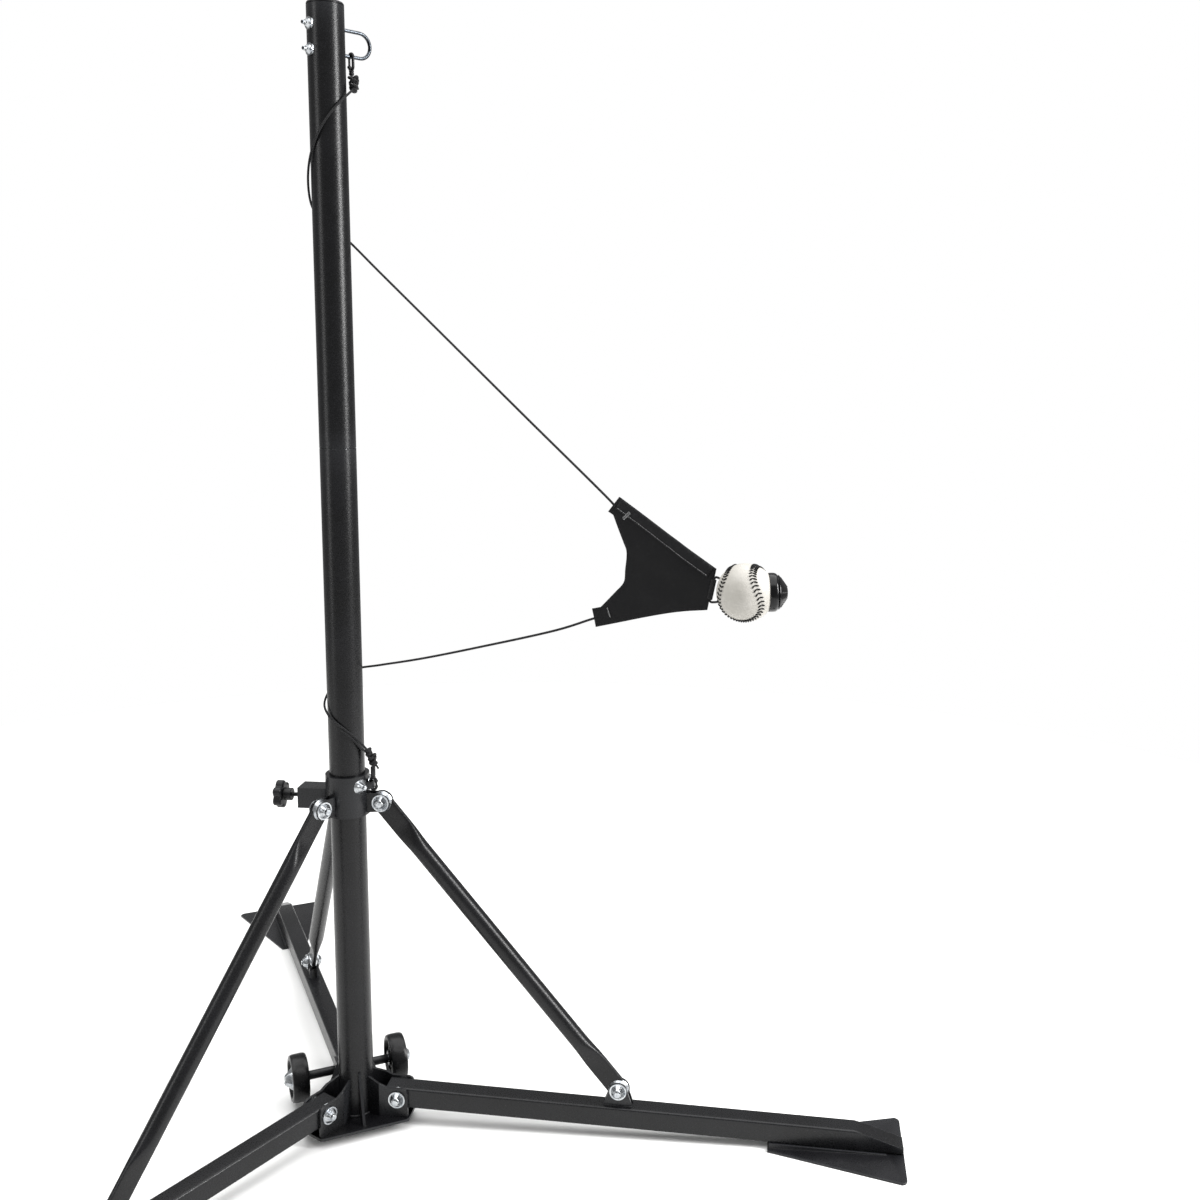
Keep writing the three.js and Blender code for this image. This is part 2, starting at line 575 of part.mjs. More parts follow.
zinc("collar_eye", strapShape(), strapFrame);
[-1, 1].forEach((side, i) => {
  const holder = ray(STRAP_AZ + side * STRAP_SCREW);
  const face = COLLAR_OD / 2 + GAP + STRAP_T + GAP;
  const nut = slab(arc(0, 0, 10 / Math.sqrt(3), 0, 300, 5), 0, 4.5).rotate([0, 90, 0]);
  zinc(`collar_eye_screw_${i + 1}`, join(
    rod([face, 0, STRAP_Z], [face + 1.5, 0, STRAP_Z], 5.5, 14),
    nut.translate([face + 1.3, 0, STRAP_Z]),
    rod([COLLAR_ID / 2 + 0.6, 0, STRAP_Z], [face + 8, 0, STRAP_Z], 2.5, 12)), holder);
});

// ---- top eye (U-bolt) ---------------------------------------------------------------------------------
const eyeFrame = ray(EYE_AZ);
class BowCurve extends THREE.Curve {
  getPoint(t, target = new THREE.Vector3()) {
    const straight = EYE_OUT_R + EYE_IN_R;
    const r = EYE_PITCH / 2;
    const total = 2 * straight + Math.PI * r;
    const s = t * total;
    if (s < straight) return target.set(-EYE_IN_R + s, 0, eyeHigh);
    if (s > total - straight) return target.set(-EYE_IN_R + (total - s), 0, eyeLow);
    const angle = Math.PI / 2 - (s - straight) / r;
    return target.set(EYE_OUT_R + r * Math.cos(angle), 0, EYE_Z + r * Math.sin(angle));
  }
}
function sweep(curve, radius, steps, sides) {
  const section = new THREE.Shape();
  section.absarc(0, 0, radius, 0, 2 * Math.PI, false);
  return solid(new THREE.ExtrudeGeometry(section, {
    steps, curveSegments: sides / 2, extrudePath: curve, bevelEnabled: false,
  }));
}
zinc("top_eye", sweep(new BowCurve(), EYE_WIRE / 2, 34, 10), eyeFrame);
[eyeHigh, eyeLow].forEach((z, i) => {
  const flat = POLE_R + GAP;
  const along = (x) => [-x, 0, z];
  zinc(`top_eye_washer_${i + 1}`, cut(rod(along(flat), along(flat + 1.5), 8.5, 16),
    rod(along(10), along(60), EYE_WIRE / 2 + GAP, 12)), eyeFrame);
  const hex = slab(arc(0, 0, 8 / Math.sqrt(3), 0, 300, 5), 0, 4.5).rotate([0, -90, 0]);
  zinc(`top_eye_nut_${i + 1}`, cut(hex.translate([-flat - 1.8, 0, z]),
    rod(along(10), along(60), EYE_WIRE / 2 + GAP, 12)), eyeFrame);
});

// ---- clips --------------------------------------------------------------------------------------------
// Long closed link standing in X and Z about its middle.
function linkShape() {
  const geometry = new THREE.TorusGeometry(LINK_HALF_W, LINK_WIRE / 2, 8, 14);
  geometry.rotateX(Math.PI / 2);
  geometry.rotateY(rad(180 / 14));
  const at = geometry.attributes.position;
  const stretch = LINK_L / 2 - LINK_HALF_W;
  for (let i = 0; i < at.count; i += 1) at.setZ(i, at.getZ(i) + Math.sign(at.getZ(i)) * stretch);
  return toGeometry(solid(geometry));
}
const linkGeometry = linkShape();
const clipUpper = plastic("clip_upper", linkGeometry, eyeFrame);
clipUpper.rotation.z = Math.PI / 2;
clipUpper.position.set(39, 0, eyeLow + EYE_WIRE / 2 + GAP + LINK_WIRE / 2 - LINK_L / 2);
const clipLower = plastic("clip_lower", linkGeometry, strapFrame);
clipLower.position.set(STRAP_OUT_R - 1, 0, STRAP_Z - STRAP_H / 2 - 2 * GAP - LINK_WIRE / 2 + LINK_L / 2);

// ---- cords --------------------------------------------------------------------------------------------
const tetherX = [Math.cos(rad(TETHER_AZ)), Math.sin(rad(TETHER_AZ))];
const tetherY = [-Math.sin(rad(TETHER_AZ)), Math.cos(rad(TETHER_AZ))];
function route(wrap, free) {
  const wrapped = wrap.map(([r, azimuth, z]) => new THREE.Vector3(
    r * Math.cos(rad(azimuth)), r * Math.sin(rad(azimuth)), z));
  const straight = free.map(([s, z]) => new THREE.Vector3(
    s * tetherX[0] + TETHER_OFF * tetherY[0], s * tetherX[1] + TETHER_OFF * tetherY[1], z));
  return new THREE.CatmullRomCurve3(wrapped.concat(straight), false, "centripetal");
}
cloth("cord_upper", sweep(route(CORD_UPPER_WRAP, CORD_UPPER_FREE), CORD_D / 2, 70, 8));
cloth("cord_lower", sweep(route(CORD_LOWER_WRAP, CORD_LOWER_FREE), CORD_D / 2, 62, 8));

// ---- sling, ball and stopper --------------------------------------------------------------------------
const tether = ray(TETHER_AZ);
const plane = new THREE.Group();
plane.position.y = TETHER_OFF;
tether.add(plane);

const [hemLow, hemHigh] = [SLING[9], SLING[10]];
const hemMiddle = [(hemLow[0] + hemHigh[0]) / 2, (hemLow[1] + hemHigh[1]) / 2];
const hemLength = Math.hypot(hemHigh[0] - hemLow[0], hemHigh[1] - hemLow[1]);
const hemAxis = [(hemHigh[0] - hemLow[0]) / hemLength, (hemHigh[1] - hemLow[1]) / hemLength];
const onHem = (t) => [hemMiddle[0] + hemAxis[0] * t, 0, hemMiddle[1] + hemAxis[1] * t];
function slingShape() {
  const sheet = wall(SLING, -SLING_T / 2, SLING_T / 2);
  const hem = rod(onHem(-HEM_HALF), onHem(HEM_HALF), HEM_R, 16);
  const notches = [-1, 1].map((side) => rod(onHem(side * HEM_HALF), onHem(side * (HEM_HALF + 6)), 4.2, 16));
  return cut(join(sheet, hem), ...notches, rod(onHem(-HEM_HALF - 3), onHem(HEM_HALF + 3), 2.1, 16));
}
cloth("sling", slingShape(), plane);

function loopShape() {
  const reach = (z) => BALL_AT[0] - Math.sqrt((BALL_D / 2) ** 2 - (z - BALL_AT[1]) ** 2) - 1.2;
  const high = onHem(HEM_HALF + 3.2);
  const low = onHem(-HEM_HALF - 3.2);
  const points = [
    new THREE.Vector3(reach(high[2] - 1), 0, high[2] - 1),
    new THREE.Vector3(high[0] + 2.2, 0, high[2] + 0.2),
    new THREE.Vector3(...onHem(HEM_HALF + 1)),
    new THREE.Vector3(...onHem(HEM_HALF - 4)),
    new THREE.Vector3(...onHem(0)),
    new THREE.Vector3(...onHem(-HEM_HALF + 4)),
    new THREE.Vector3(...onHem(-HEM_HALF - 1)),
    new THREE.Vector3(low[0] + 2.2, 0, low[2] - 0.2),
    new THREE.Vector3(reach(low[2] + 1), 0, low[2] + 1),
  ];
  return sweep(new THREE.CatmullRomCurve3(points, false, "centripetal"), 1.5, 26, 8);
}
cloth("ball_loop", loopShape(), plane);
const ball = add("ball", solid(new THREE.SphereGeometry(BALL_D / 2, 24, 14)), 0xe9e5dc, 0.55, 0, plane);
ball.position.set(BALL_AT[0], 0, BALL_AT[1]);

function stopperShape() {
  const seat = BALL_D / 2 + GAP;
  const rim = CAP_D / 2 - 1.5;
  const profile = [];
  for (let i = 0; i <= 5; i += 1) {
    const angle = (Math.asin(rim / seat) * i) / 5;
    profile.push([seat * Math.sin(angle), seat * Math.cos(angle)]);
  }
  const z = profile[5][1];
  profile[0][0] = 0;
  profile.push([CAP_D / 2, z + 1.5], [CAP_D / 2 - 0.8, z + 11], [CAP_D / 2 - 3.5, z + 13.5],
    [9, seat + CAP_H - 2.5], [5, seat + CAP_H - 0.5], [0, seat + CAP_H]);
  return toGeometry(turned(profile, 24));
}
const stopper = plastic("ball_stopper", stopperShape(), plane);
stopper.position.set(BALL_AT[0], 0, BALL_AT[1]);
stopper.rotation.set(0, Math.PI / 2, rad(CAP_TURN), "ZYX");

export default group;
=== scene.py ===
import math
import random

import bmesh
import bpy
from mathutils import Matrix, Vector, kdtree, noise


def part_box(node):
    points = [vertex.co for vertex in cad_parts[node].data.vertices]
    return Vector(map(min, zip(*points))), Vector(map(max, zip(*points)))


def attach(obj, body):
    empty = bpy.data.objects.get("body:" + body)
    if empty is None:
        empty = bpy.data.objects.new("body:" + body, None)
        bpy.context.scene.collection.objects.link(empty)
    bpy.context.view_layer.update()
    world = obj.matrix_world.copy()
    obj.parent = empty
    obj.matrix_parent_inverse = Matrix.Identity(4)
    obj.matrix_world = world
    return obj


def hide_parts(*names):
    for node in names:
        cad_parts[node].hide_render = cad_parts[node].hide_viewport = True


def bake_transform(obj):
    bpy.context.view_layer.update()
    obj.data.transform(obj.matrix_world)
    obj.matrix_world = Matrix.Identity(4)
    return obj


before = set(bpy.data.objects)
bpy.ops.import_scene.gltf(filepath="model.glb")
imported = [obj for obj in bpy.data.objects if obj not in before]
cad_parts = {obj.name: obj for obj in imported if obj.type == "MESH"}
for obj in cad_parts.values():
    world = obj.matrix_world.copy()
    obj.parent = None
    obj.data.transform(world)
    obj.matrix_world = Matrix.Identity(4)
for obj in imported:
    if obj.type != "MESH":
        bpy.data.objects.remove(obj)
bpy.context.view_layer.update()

# Tethered-ball swing trainer. Metres, +Z up, origin on the pole's axis at floor level.
rad = math.radians
scene = bpy.context.scene

# ---- sizes --------------------------------------------------------------------------------------------
POLE_R = 0.0254
POLE_BORE = 0.0234
POLE_FOOT_Z = 0.0173
POLE_JOINT_Z = 1.009
POLE_TOP_Z = 1.610
LEG_AZ = (-6, -126, 114)
LEG_PIVOT = (0.068, 0.0445)
LEG_TILT = rad(2.01)
LEG_HALF = 0.015
LEG_HEEL = -0.018
LEG_TIP = 0.742
LEG_BEVEL = 0.070
LEG_TIP_H = 0.009
BRACE_PIN = (0.3278, 0.0376)
COLLAR_PIN = (0.051, 0.494)
COLLAR_R = 0.0315
WHEEL_MID = 0.0745
EYE_AZ = 46
STRAP_AZ = -14
BOSS_AZ = 174
TETHER_AZ = -26
TETHER_OFF = 0.0278
CORD_R = 0.0016
BALL_R = 0.0367
BALL_S = 0.6102
BALL_Z = 0.8462
STOPPER_AZ = 2

# ---- camera -------------------------------------------------------------------------------------------
camera_data = bpy.data.cameras.new("camera")
camera_data.sensor_width = 36
camera_data.lens = 38.82
camera_data.shift_x = -0.0468
camera_data.shift_y = -0.0743
camera_data.clip_end = 100
camera = bpy.data.objects.new("camera", camera_data)
camera.location = (0.4497, -1.8259, 1.1377)
camera.rotation_euler = (rad(90 - 6.82), 0, 0)
scene.collection.objects.link(camera)
scene.camera = camera


# ---- materials ----------------------------------------------------------------------------------------
def linear(hex_text):
    """sRGB hex to linear RGBA."""
    values = [int(hex_text[i:i + 2], 16) / 255 for i in (0, 2, 4)]
    return tuple(v / 12.92 if v <= 0.04045 else ((v + 0.055) / 1.055) ** 2.4 for v in values) + (1.0,)


def put(tree, kind, sockets=None, **settings):
    """Adds a node with its settings, values and links."""
    made = tree.nodes.new(kind)
    for key, value in settings.items():
        setattr(made, key, value)
    for key, value in (sockets or {}).items():
        if isinstance(value, bpy.types.NodeSocket):
            tree.links.new(value, made.inputs[key])
        else:
            made.inputs[key].default_value = value
    return made


def finish(name, **shader):
    """New material: its tree, its shader, and Object coordinates in metres."""
    material = bpy.data.materials.new(name)
    material.use_nodes = True
    tree = material.node_tree
    surface = tree.nodes["Principled BSDF"]
    for key, value in shader.items():
        surface.inputs[key.replace("_", " ")].default_value = value
    place = put(tree, "ShaderNodeTexCoord").outputs["Object"]
    return material, tree, surface, place


def ramp(tree, source, low, high, colour_low, colour_high):
    made = put(tree, "ShaderNodeValToRGB", {"Fac": source})
    made.color_ramp.elements[0].position = low
    made.color_ramp.elements[1].position = high
    made.color_ramp.elements[0].color = colour_low
    made.color_ramp.elements[1].color = colour_high
    return made.outputs["Color"]


def grain(tree, place, size_mm, detail=3.0, roughness=0.6):
    """Noise whose features are about size_mm across."""
    return put(tree, "ShaderNodeTexNoise", {
        "Vector": place, "Scale": 1000 / size_mm, "Detail": detail, "Roughness": roughness}).outputs["Fac"]


def spread(tree, source, low, high, start=0.3, end=0.7):
    return put(tree, "ShaderNodeMapRange", {
        "Value": source, "From Min": start, "From Max": end, "To Min": low, "To Max": high}).outputs["Result"]


def bump(tree, surface, height, distance_mm, strength=1.0):
    made = put(tree, "ShaderNodeBump", {"Height": height, "Distance": distance_mm / 1000, "Strength": strength})
    tree.links.new(made.outputs["Normal"], surface.inputs["Normal"])
    return made


def edge_wear(tree, low=0.505, high=0.56):
    """One on sharp outer edges, zero elsewhere."""
    point = put(tree, "ShaderNodeNewGeometry").outputs["Pointiness"]
    return put(tree, "ShaderNodeMapRange", {"Value": point, "From Min": low, "From Max": high}).outputs["Result"]


def mix(tree, factor, first, second):
    made = put(tree, "ShaderNodeMix", data_type="RGBA")
    for index, value in ((0, factor), (6, first), (7, second)):
        if isinstance(value, bpy.types.NodeSocket):
            tree.links.new(value, made.inputs[index])
        else:
            made.inputs[index].default_value = value
    return made.outputs[2]


def powder_coat(name, base, pale):
    """Satin black polyester powder coat on steel tube: orange peel 2 mm across breaks the highlight into speckles,
    and pale flecks in the colour are painted glints of that speckled highlight; edges are a little paler where the
    coat is thin."""
    material, tree, surface, place = finish(name, Metallic=0.0, IOR=1.5, Specular_IOR_Level=0.28)
    peel = grain(tree, place, 2.0, 4.0, 0.7)
    cloud = grain(tree, place, 60.0, 2.0)
    body = ramp(tree, cloud, 0.35, 0.7, linear(base), linear(pale))
    # pale flecks in the colour: painted glints, standing in for the speckled highlight
    glint_flecks = ramp(tree, grain(tree, place, 2.4, 2.0), 0.56, 0.72, (0, 0, 0, 1), (1, 1, 1, 1))
    glint_speckled = mix(tree, put(tree, "ShaderNodeMath", {0: glint_flecks, 1: 0.2}, operation="MULTIPLY").outputs[0],
                   body, linear("2C2D30"))
    worn = put(tree, "ShaderNodeMath", {0: edge_wear(tree), 1: 0.1}, operation="MULTIPLY").outputs[0]
    tree.links.new(mix(tree, worn, glint_speckled, linear("5A5C60")), surface.inputs["Base Color"])
    tree.links.new(spread(tree, peel, 0.20, 0.40), surface.inputs["Roughness"])
    bump(tree, surface, peel, 0.22, 0.75)
    return material


def zinc_plate(name):
    """Bright zinc plate on pressed steel: soft mirror, faint blue-grey clouds, hairline scuffs."""
    material, tree, surface, place = finish(name, Metallic=1.0)
    cloud = grain(tree, place, 5.0, 3.0)
    scuff = grain(tree, put(tree, "ShaderNodeMapping", {"Vector": place, "Scale": (1, 1, 9)}).outputs[0], 1.2)
    tree.links.new(ramp(tree, cloud, 0.3, 0.75, linear("8F949B"), linear("D2D4D4")),
                   surface.inputs["Base Color"])
    tree.links.new(spread(tree, scuff, 0.16, 0.38), surface.inputs["Roughness"])
    bump(tree, surface, scuff, 0.03, 0.35)
    return material


def polished_steel(name):
    """Chromed wire: near mirror with a little haze. Its colour is painted far darker than chrome's own: painted
    shade for the dark surroundings such thin wire reflects.
    """
    material, tree, surface, place = finish(name, Metallic=1.0)
    haze = grain(tree, place, 3.0)
    # dark base colour: painted shade standing in for the dark surroundings in the wire's reflection
    tree.links.new(ramp(tree, haze, 0.3, 0.7, linear("2C2F33"), linear("45494D")), surface.inputs["Base Color"])
    tree.links.new(spread(tree, haze, 0.12, 0.26), surface.inputs["Roughness"])
    return material


def moulded(name, base, pale, low, high, pit_mm=0.9, depth_mm=0.05, ior=1.5):
    """Injection-moulded black nylon or polypropylene: fine spark texture, paler on worn rims."""
    material, tree, surface, place = finish(name, Metallic=0.0, IOR=ior, Specular_IOR_Level=0.26)
    pits = grain(tree, place, pit_mm, 3.0)
    body = ramp(tree, grain(tree, place, 14.0), 0.35, 0.7, linear(base), linear(pale))
    worn = put(tree, "ShaderNodeMath", {0: edge_wear(tree), 1: 0.1}, operation="MULTIPLY").outputs[0]
    tree.links.new(mix(tree, worn, body, linear("3C3D40")), surface.inputs["Base Color"])
    tree.links.new(spread(tree, pits, low, high), surface.inputs["Roughness"])
    bump(tree, surface, pits, depth_mm, 0.5)
    return material


def braided_cord(name):
    """Braided polyester cord: eight yarns cross in a herringbone. The yarn pitch is drawn at 2.6 mm,
    about twice the real one, so that it shows. UV: turns round the cord, metres along it."""
    material, tree, surface, _ = finish(name, Roughness=0.72, Specular_IOR_Level=0.3, Sheen_Weight=0.05,
                                        Sheen_Roughness=0.45)
    flat = put(tree, "ShaderNodeSeparateXYZ", {"Vector": put(tree, "ShaderNodeTexCoord").outputs["UV"]})
    round_it = put(tree, "ShaderNodeMath", {0: flat.outputs["X"], 1: 4.0}, operation="MULTIPLY").outputs[0]
    along = put(tree, "ShaderNodeMath", {0: flat.outputs["Y"], 1: 1 / 0.0052}, operation="MULTIPLY").outputs[0]
    waves = []
    for operation in ("ADD", "SUBTRACT"):
        total = put(tree, "ShaderNodeMath", {0: round_it, 1: along}, operation=operation).outputs[0]
        turn = put(tree, "ShaderNodeMath", {0: total, 1: 2 * math.pi}, operation="MULTIPLY").outputs[0]
        waves.append(put(tree, "ShaderNodeMath", {0: turn}, operation="SINE").outputs[0])
    weave = put(tree, "ShaderNodeMath", {0: waves[0], 1: waves[1]}, operation="MAXIMUM").outputs[0]
    tree.links.new(ramp(tree, weave, 0.1, 0.95, linear("040405"), linear("1B1B1D")), surface.inputs["Base Color"])
    bump(tree, surface, weave, 0.25, 0.8)
    return material


def woven_nylon(name, dark, pale, dusty):
    """Black nylon pack cloth, plain weave. Threads are 0.9 mm apart here, coarser than the real 0.5 mm, so that the
    weave shows. UV in metres; dust lies in random patches. The paler copy made for the hems is painted highlight
    along their folded edges."""
    material, tree, surface, place = finish(name, Roughness=0.8, Sheen_Weight=0.06, Sheen_Roughness=0.5,
                                            Specular_IOR_Level=0.2)
    cloth = put(tree, "ShaderNodeTexCoord").outputs["UV"]
    flat = put(tree, "ShaderNodeSeparateXYZ", {"Vector": cloth})
    threads = []
    for axis in ("X", "Y"):
        turn = put(tree, "ShaderNodeMath", {0: flat.outputs[axis], 1: 2 * math.pi / 0.0018},
                   operation="MULTIPLY").outputs[0]
        threads.append(put(tree, "ShaderNodeMath", {0: turn}, operation="SINE").outputs[0])
    weave = put(tree, "ShaderNodeMath", {0: threads[0], 1: threads[1]}, operation="MULTIPLY").outputs[0]
    height = put(tree, "ShaderNodeMapRange", {"Value": weave, "From Min": -1.0}).outputs["Result"]
    yarn = ramp(tree, height, 0.2, 0.9, linear(dark), linear(pale))
    dust = ramp(tree, grain(tree, place, 7.0, 5.0, 0.7), 0.55, 0.85, (0, 0, 0, 1), (1, 1, 1, 1))
    lint = put(tree, "ShaderNodeMath", {0: dust, 1: 0.15}, operation="MULTIPLY").outputs[0]
    tree.links.new(mix(tree, lint, yarn, linear(dusty)), surface.inputs["Base Color"])
    bump(tree, surface, height, 0.22, 0.7)
    return material


def ball_hide(name):
    """Off-white cowhide: fine pores 0.8 mm apart, faint yellow and grey shading, low sheen."""
    material, tree, surface, place = finish(name, IOR=1.45, Specular_IOR_Level=0.4)
    cloud = ramp(tree, grain(tree, place, 26.0, 3.0), 0.35, 0.7, linear("ADAAA3"), linear("BCB9B3"))
    smudge = ramp(tree, grain(tree, place, 9.0, 4.0), 0.6, 0.8, (0, 0, 0, 1), (1, 1, 1, 1))
    rub = put(tree, "ShaderNodeMath", {0: smudge, 1: 0.18}, operation="MULTIPLY").outputs[0]
    tree.links.new(mix(tree, rub, cloud, linear("A6A196")), surface.inputs["Base Color"])
    pores = put(tree, "ShaderNodeTexVoronoi", {"Vector": place, "Scale": 1000 / 0.8}).outputs["Distance"]
    tree.links.new(spread(tree, pores, 0.42, 0.6, 0.0, 0.6), surface.inputs["Roughness"])
    bump(tree, surface, pores, 0.05, 0.5)
    return material


def waxed_thread(name, dark, pale, rough):
    """Twisted thread: darker in the lay of its 0.5 mm strands."""
    material, tree, surface, place = finish(name, Roughness=rough, Specular_IOR_Level=0.2)
    strand = grain(tree, place, 0.6, 2.0)
    tree.links.new(ramp(tree, strand, 0.35, 0.7, linear(dark), linear(pale)), surface.inputs["Base Color"])
    bump(tree, surface, strand, 0.1, 0.5)
    return material


def painted_floor(name):
    """Matt white studio floor with barely visible mottling."""
    material, tree, surface, place = finish(name, Roughness=0.75, Specular_IOR_Level=0.2)
    tree.links.new(ramp(tree, grain(tree, place, 400.0), 0.3, 0.7, linear("F0F0EF"), linear("F5F5F4")),
                   surface.inputs["Base Color"])
    return material


COAT = powder_coat("powder_coated_steel", "0A0A0B", "101012")
# paler copy of the same coat for the foot plates and the weld bead: painted light, for the light their upward and
# rounded faces catch
COAT_PAINTED_LIT = powder_coat("powder_coated_steel_painted_light", "111113", "1A1A1C")
ZINC = zinc_plate("zinc_plated_steel")
CHROME = polished_steel("chromed_steel_wire")
NYLON = moulded("moulded_black_nylon", "070708", "0E0E10", 0.3, 0.45)
TYRE = moulded("moulded_polypropylene_wheel", "060607", "0D0D0E", 0.22, 0.4, 1.6, 0.05)
GLOSS = moulded("moulded_gloss_abs", "030304", "070708", 0.16, 0.26, 4.0, 0.02)
CORD = braided_cord("braided_polyester_cord")
CLOTH = woven_nylon("woven_nylon_cloth", "040405", "121214", "3A3B3E")
# paler copy of the cloth for the hems: painted highlight along their folded edges
HEM = woven_nylon("woven_nylon_hem_painted_highlight", "070708", "1C1C1E", "4A4B4E")
HIDE = ball_hide("white_cowhide")
BALL_THREAD = waxed_thread("waxed_black_thread", "020202", "0C0C0D", 0.6)
SEAM_THREAD = waxed_thread("grey_nylon_thread", "6A6A6C", "B0B0B0", 0.6)


# ---- mesh helpers -------------------------------------------------------------------------------------
def ray(azimuth):
    """Turns X to point away from the pole at that azimuth."""
    return Matrix.Rotation(rad(azimuth), 4, "Z")


def leg_frame(azimuth):
    """At the leg's pivot, X along the leg."""
    return (ray(azimuth) @ Matrix.Translation((LEG_PIVOT[0], 0, LEG_PIVOT[1]))
            @ Matrix.Rotation(LEG_TILT, 4, "Y"))


def tether_point(along, height, side=0.0):
    """Point in the sling's plane."""
    a = rad(TETHER_AZ)
    off = TETHER_OFF + side
    return Vector((along * math.cos(a) - off * math.sin(a), along * math.sin(a) + off * math.cos(a), height))


def arc(cx, cy, radius, start, end, steps):
    return [(cx + radius * math.cos(rad(start + (end - start) * i / steps)),
             cy + radius * math.sin(rad(start + (end - start) * i / steps))) for i in range(steps + 1)]


def revolved(bm, profile, segments, place=Matrix.Identity(4), loop=False):
    """Profile of radius and height turned round the place's Z. Ends lie on the axis unless it's a loop."""
    rings = []
    for radius, height in profile:
        if radius < 1e-7:
            rings.append([bm.verts.new(place @ Vector((0, 0, height)))])
            continue
        ring = []
        for i in range(segments):
            angle = 2 * math.pi * i / segments
            ring.append(bm.verts.new(place @ Vector((radius * math.cos(angle), radius * math.sin(angle), height))))
        rings.append(ring)
    pairs = list(zip(rings, rings[1:]))
    if loop:
        pairs.append((rings[-1], rings[0]))
    made = []
    for low, high in pairs:
        for i in range(segments):
            j = (i + 1) % segments
            corners = [low[i % len(low)], low[j % len(low)], high[j % len(high)], high[i % len(high)]]
            corners = [v for n, v in enumerate(corners) if v not in corners[:n]]
            if len(corners) > 2:
                made.append(bm.faces.new(corners))
    bmesh.ops.recalc_face_normals(bm, faces=made)
    return made


def swept(bm, path, section, scale=None, closed=False, uv=None):
    """Section of (side, up) points carried along a path; scale gives each station's (side, up) factors."""
    count = len(path)
    tangents = []
    for i in range(count):
        before = path[i - 1] if i or closed else path[0]
        after = path[(i + 1) % count] if i + 1 < count or closed else path[-1]
        tangents.append((after - before).normalized())
    side = tangents[0].orthogonal().normalized()
    if abs(tangents[0].z) < 0.9:
        side = tangents[0].cross(Vector((0, 0, 1))).normalized()
    frames = []
    for i, tangent in enumerate(tangents):
        if i:
            side = tangents[i - 1].rotation_difference(tangent) @ side
        side = (side - tangent * side.dot(tangent)).normalized()
        frames.append((side.copy(), side.cross(tangent)))
    if closed:
        last = tangents[-1].rotation_difference(tangents[0]) @ frames[-1][0]
        twist = math.atan2(last.dot(frames[0][1]), last.dot(frames[0][0]))
    rings = []
    for i, (point, (across, up)) in enumerate(zip(path, frames)):
        wide, high = scale[i] if scale else (1, 1)
        turn = -twist * i / count if closed else 0.0
        c, s = math.cos(turn), math.sin(turn)
        ring = []
        for a, b in section:
            a, b = a * wide, b * high
            ring.append(bm.verts.new(point + across * (a * c - b * s) + up * (a * s + b * c)))
        rings.append(ring)
    lengths = [0.0]
    for a, b in zip(path, path[1:]):
        lengths.append(lengths[-1] + (b - a).length)
    made = []
    n = len(section)
    stations = count if closed else count - 1
    for i in range(stations):
        low, high = rings[i], rings[(i + 1) % count]
        for k in range(n):
            m = (k + 1) % n
            face = bm.faces.new([low[k], low[m], high[m], high[k]])
            made.append(face)
            if uv:
                end = lengths[i + 1] if i + 1 < count else lengths[-1]
                for loop, value in zip(face.loops, ((k, lengths[i]), (k + 1, lengths[i]), (k + 1, end), (k, end))):
                    loop[uv].uv = (value[0] / n, value[1])
    if not closed:
        made.append(bm.faces.new(rings[0][::-1]))
        made.append(bm.faces.new(rings[-1]))
    bmesh.ops.recalc_face_normals(bm, faces=made)
    return made


def disc(radius, sides):
    return [(radius * math.cos(2 * math.pi * i / sides), radius * math.sin(2 * math.pi * i / sides))
            for i in range(sides)]


def slab(bm, outline, low, high, place=Matrix.Identity(4)):
    """Outline in the place's X and Y, from low to high along its Z."""
    rings = [[bm.verts.new(place @ Vector((x, y, z))) for x, y in outline] for z in (low, high)]
    made = [bm.faces.new(rings[0][::-1]), bm.faces.new(rings[1])]
    for i in range(len(outline)):
        j = (i + 1) % len(outline)
        made.append(bm.faces.new([rings[0][i], rings[0][j], rings[1][j], rings[1][i]]))
    bmesh.ops.recalc_face_normals(bm, faces=made)
    return made


UPRIGHT = Matrix(((1, 0, 0, 0), (0, 0, -1, 0), (0, 1, 0, 0), (0, 0, 0, 1)))  # slab's outline into X and Z


def piece(name, bm, material, body, stands_for=(), bevel=0.0, segments=2, smooth=35):
    """Finished piece on its body, with its edges eased and its curved faces smooth."""
    mesh = bpy.data.meshes.new(name)
    bm.to_mesh(mesh)
    bm.free()
    mesh.materials.append(material)
    for face in mesh.polygons:
        face.use_smooth = True
    mesh.set_sharp_from_angle(angle=rad(smooth))
    obj = bpy.data.objects.new(name, mesh)
    scene.collection.objects.link(obj)
    if bevel:
        eased = obj.modifiers.new("eased_edges", "BEVEL")
        eased.width = bevel
        eased.segments = segments
        eased.limit_method = "ANGLE"
        eased.angle_limit = rad(smooth)
    if body:
        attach(obj, body)
    if stands_for:
        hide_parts(*stands_for)
    return obj


def cad_copy(node):
    """Merged copy of a CAD node's mesh, flat faces made whole."""
    bm = bmesh.new()
    bm.from_mesh(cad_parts[node].data)
    bmesh.ops.remove_doubles(bm, verts=bm.verts, dist=3e-6)
    bmesh.ops.dissolve_limit(bm, angle_limit=rad(0.6), verts=bm.verts, edges=bm.edges)
    return bm


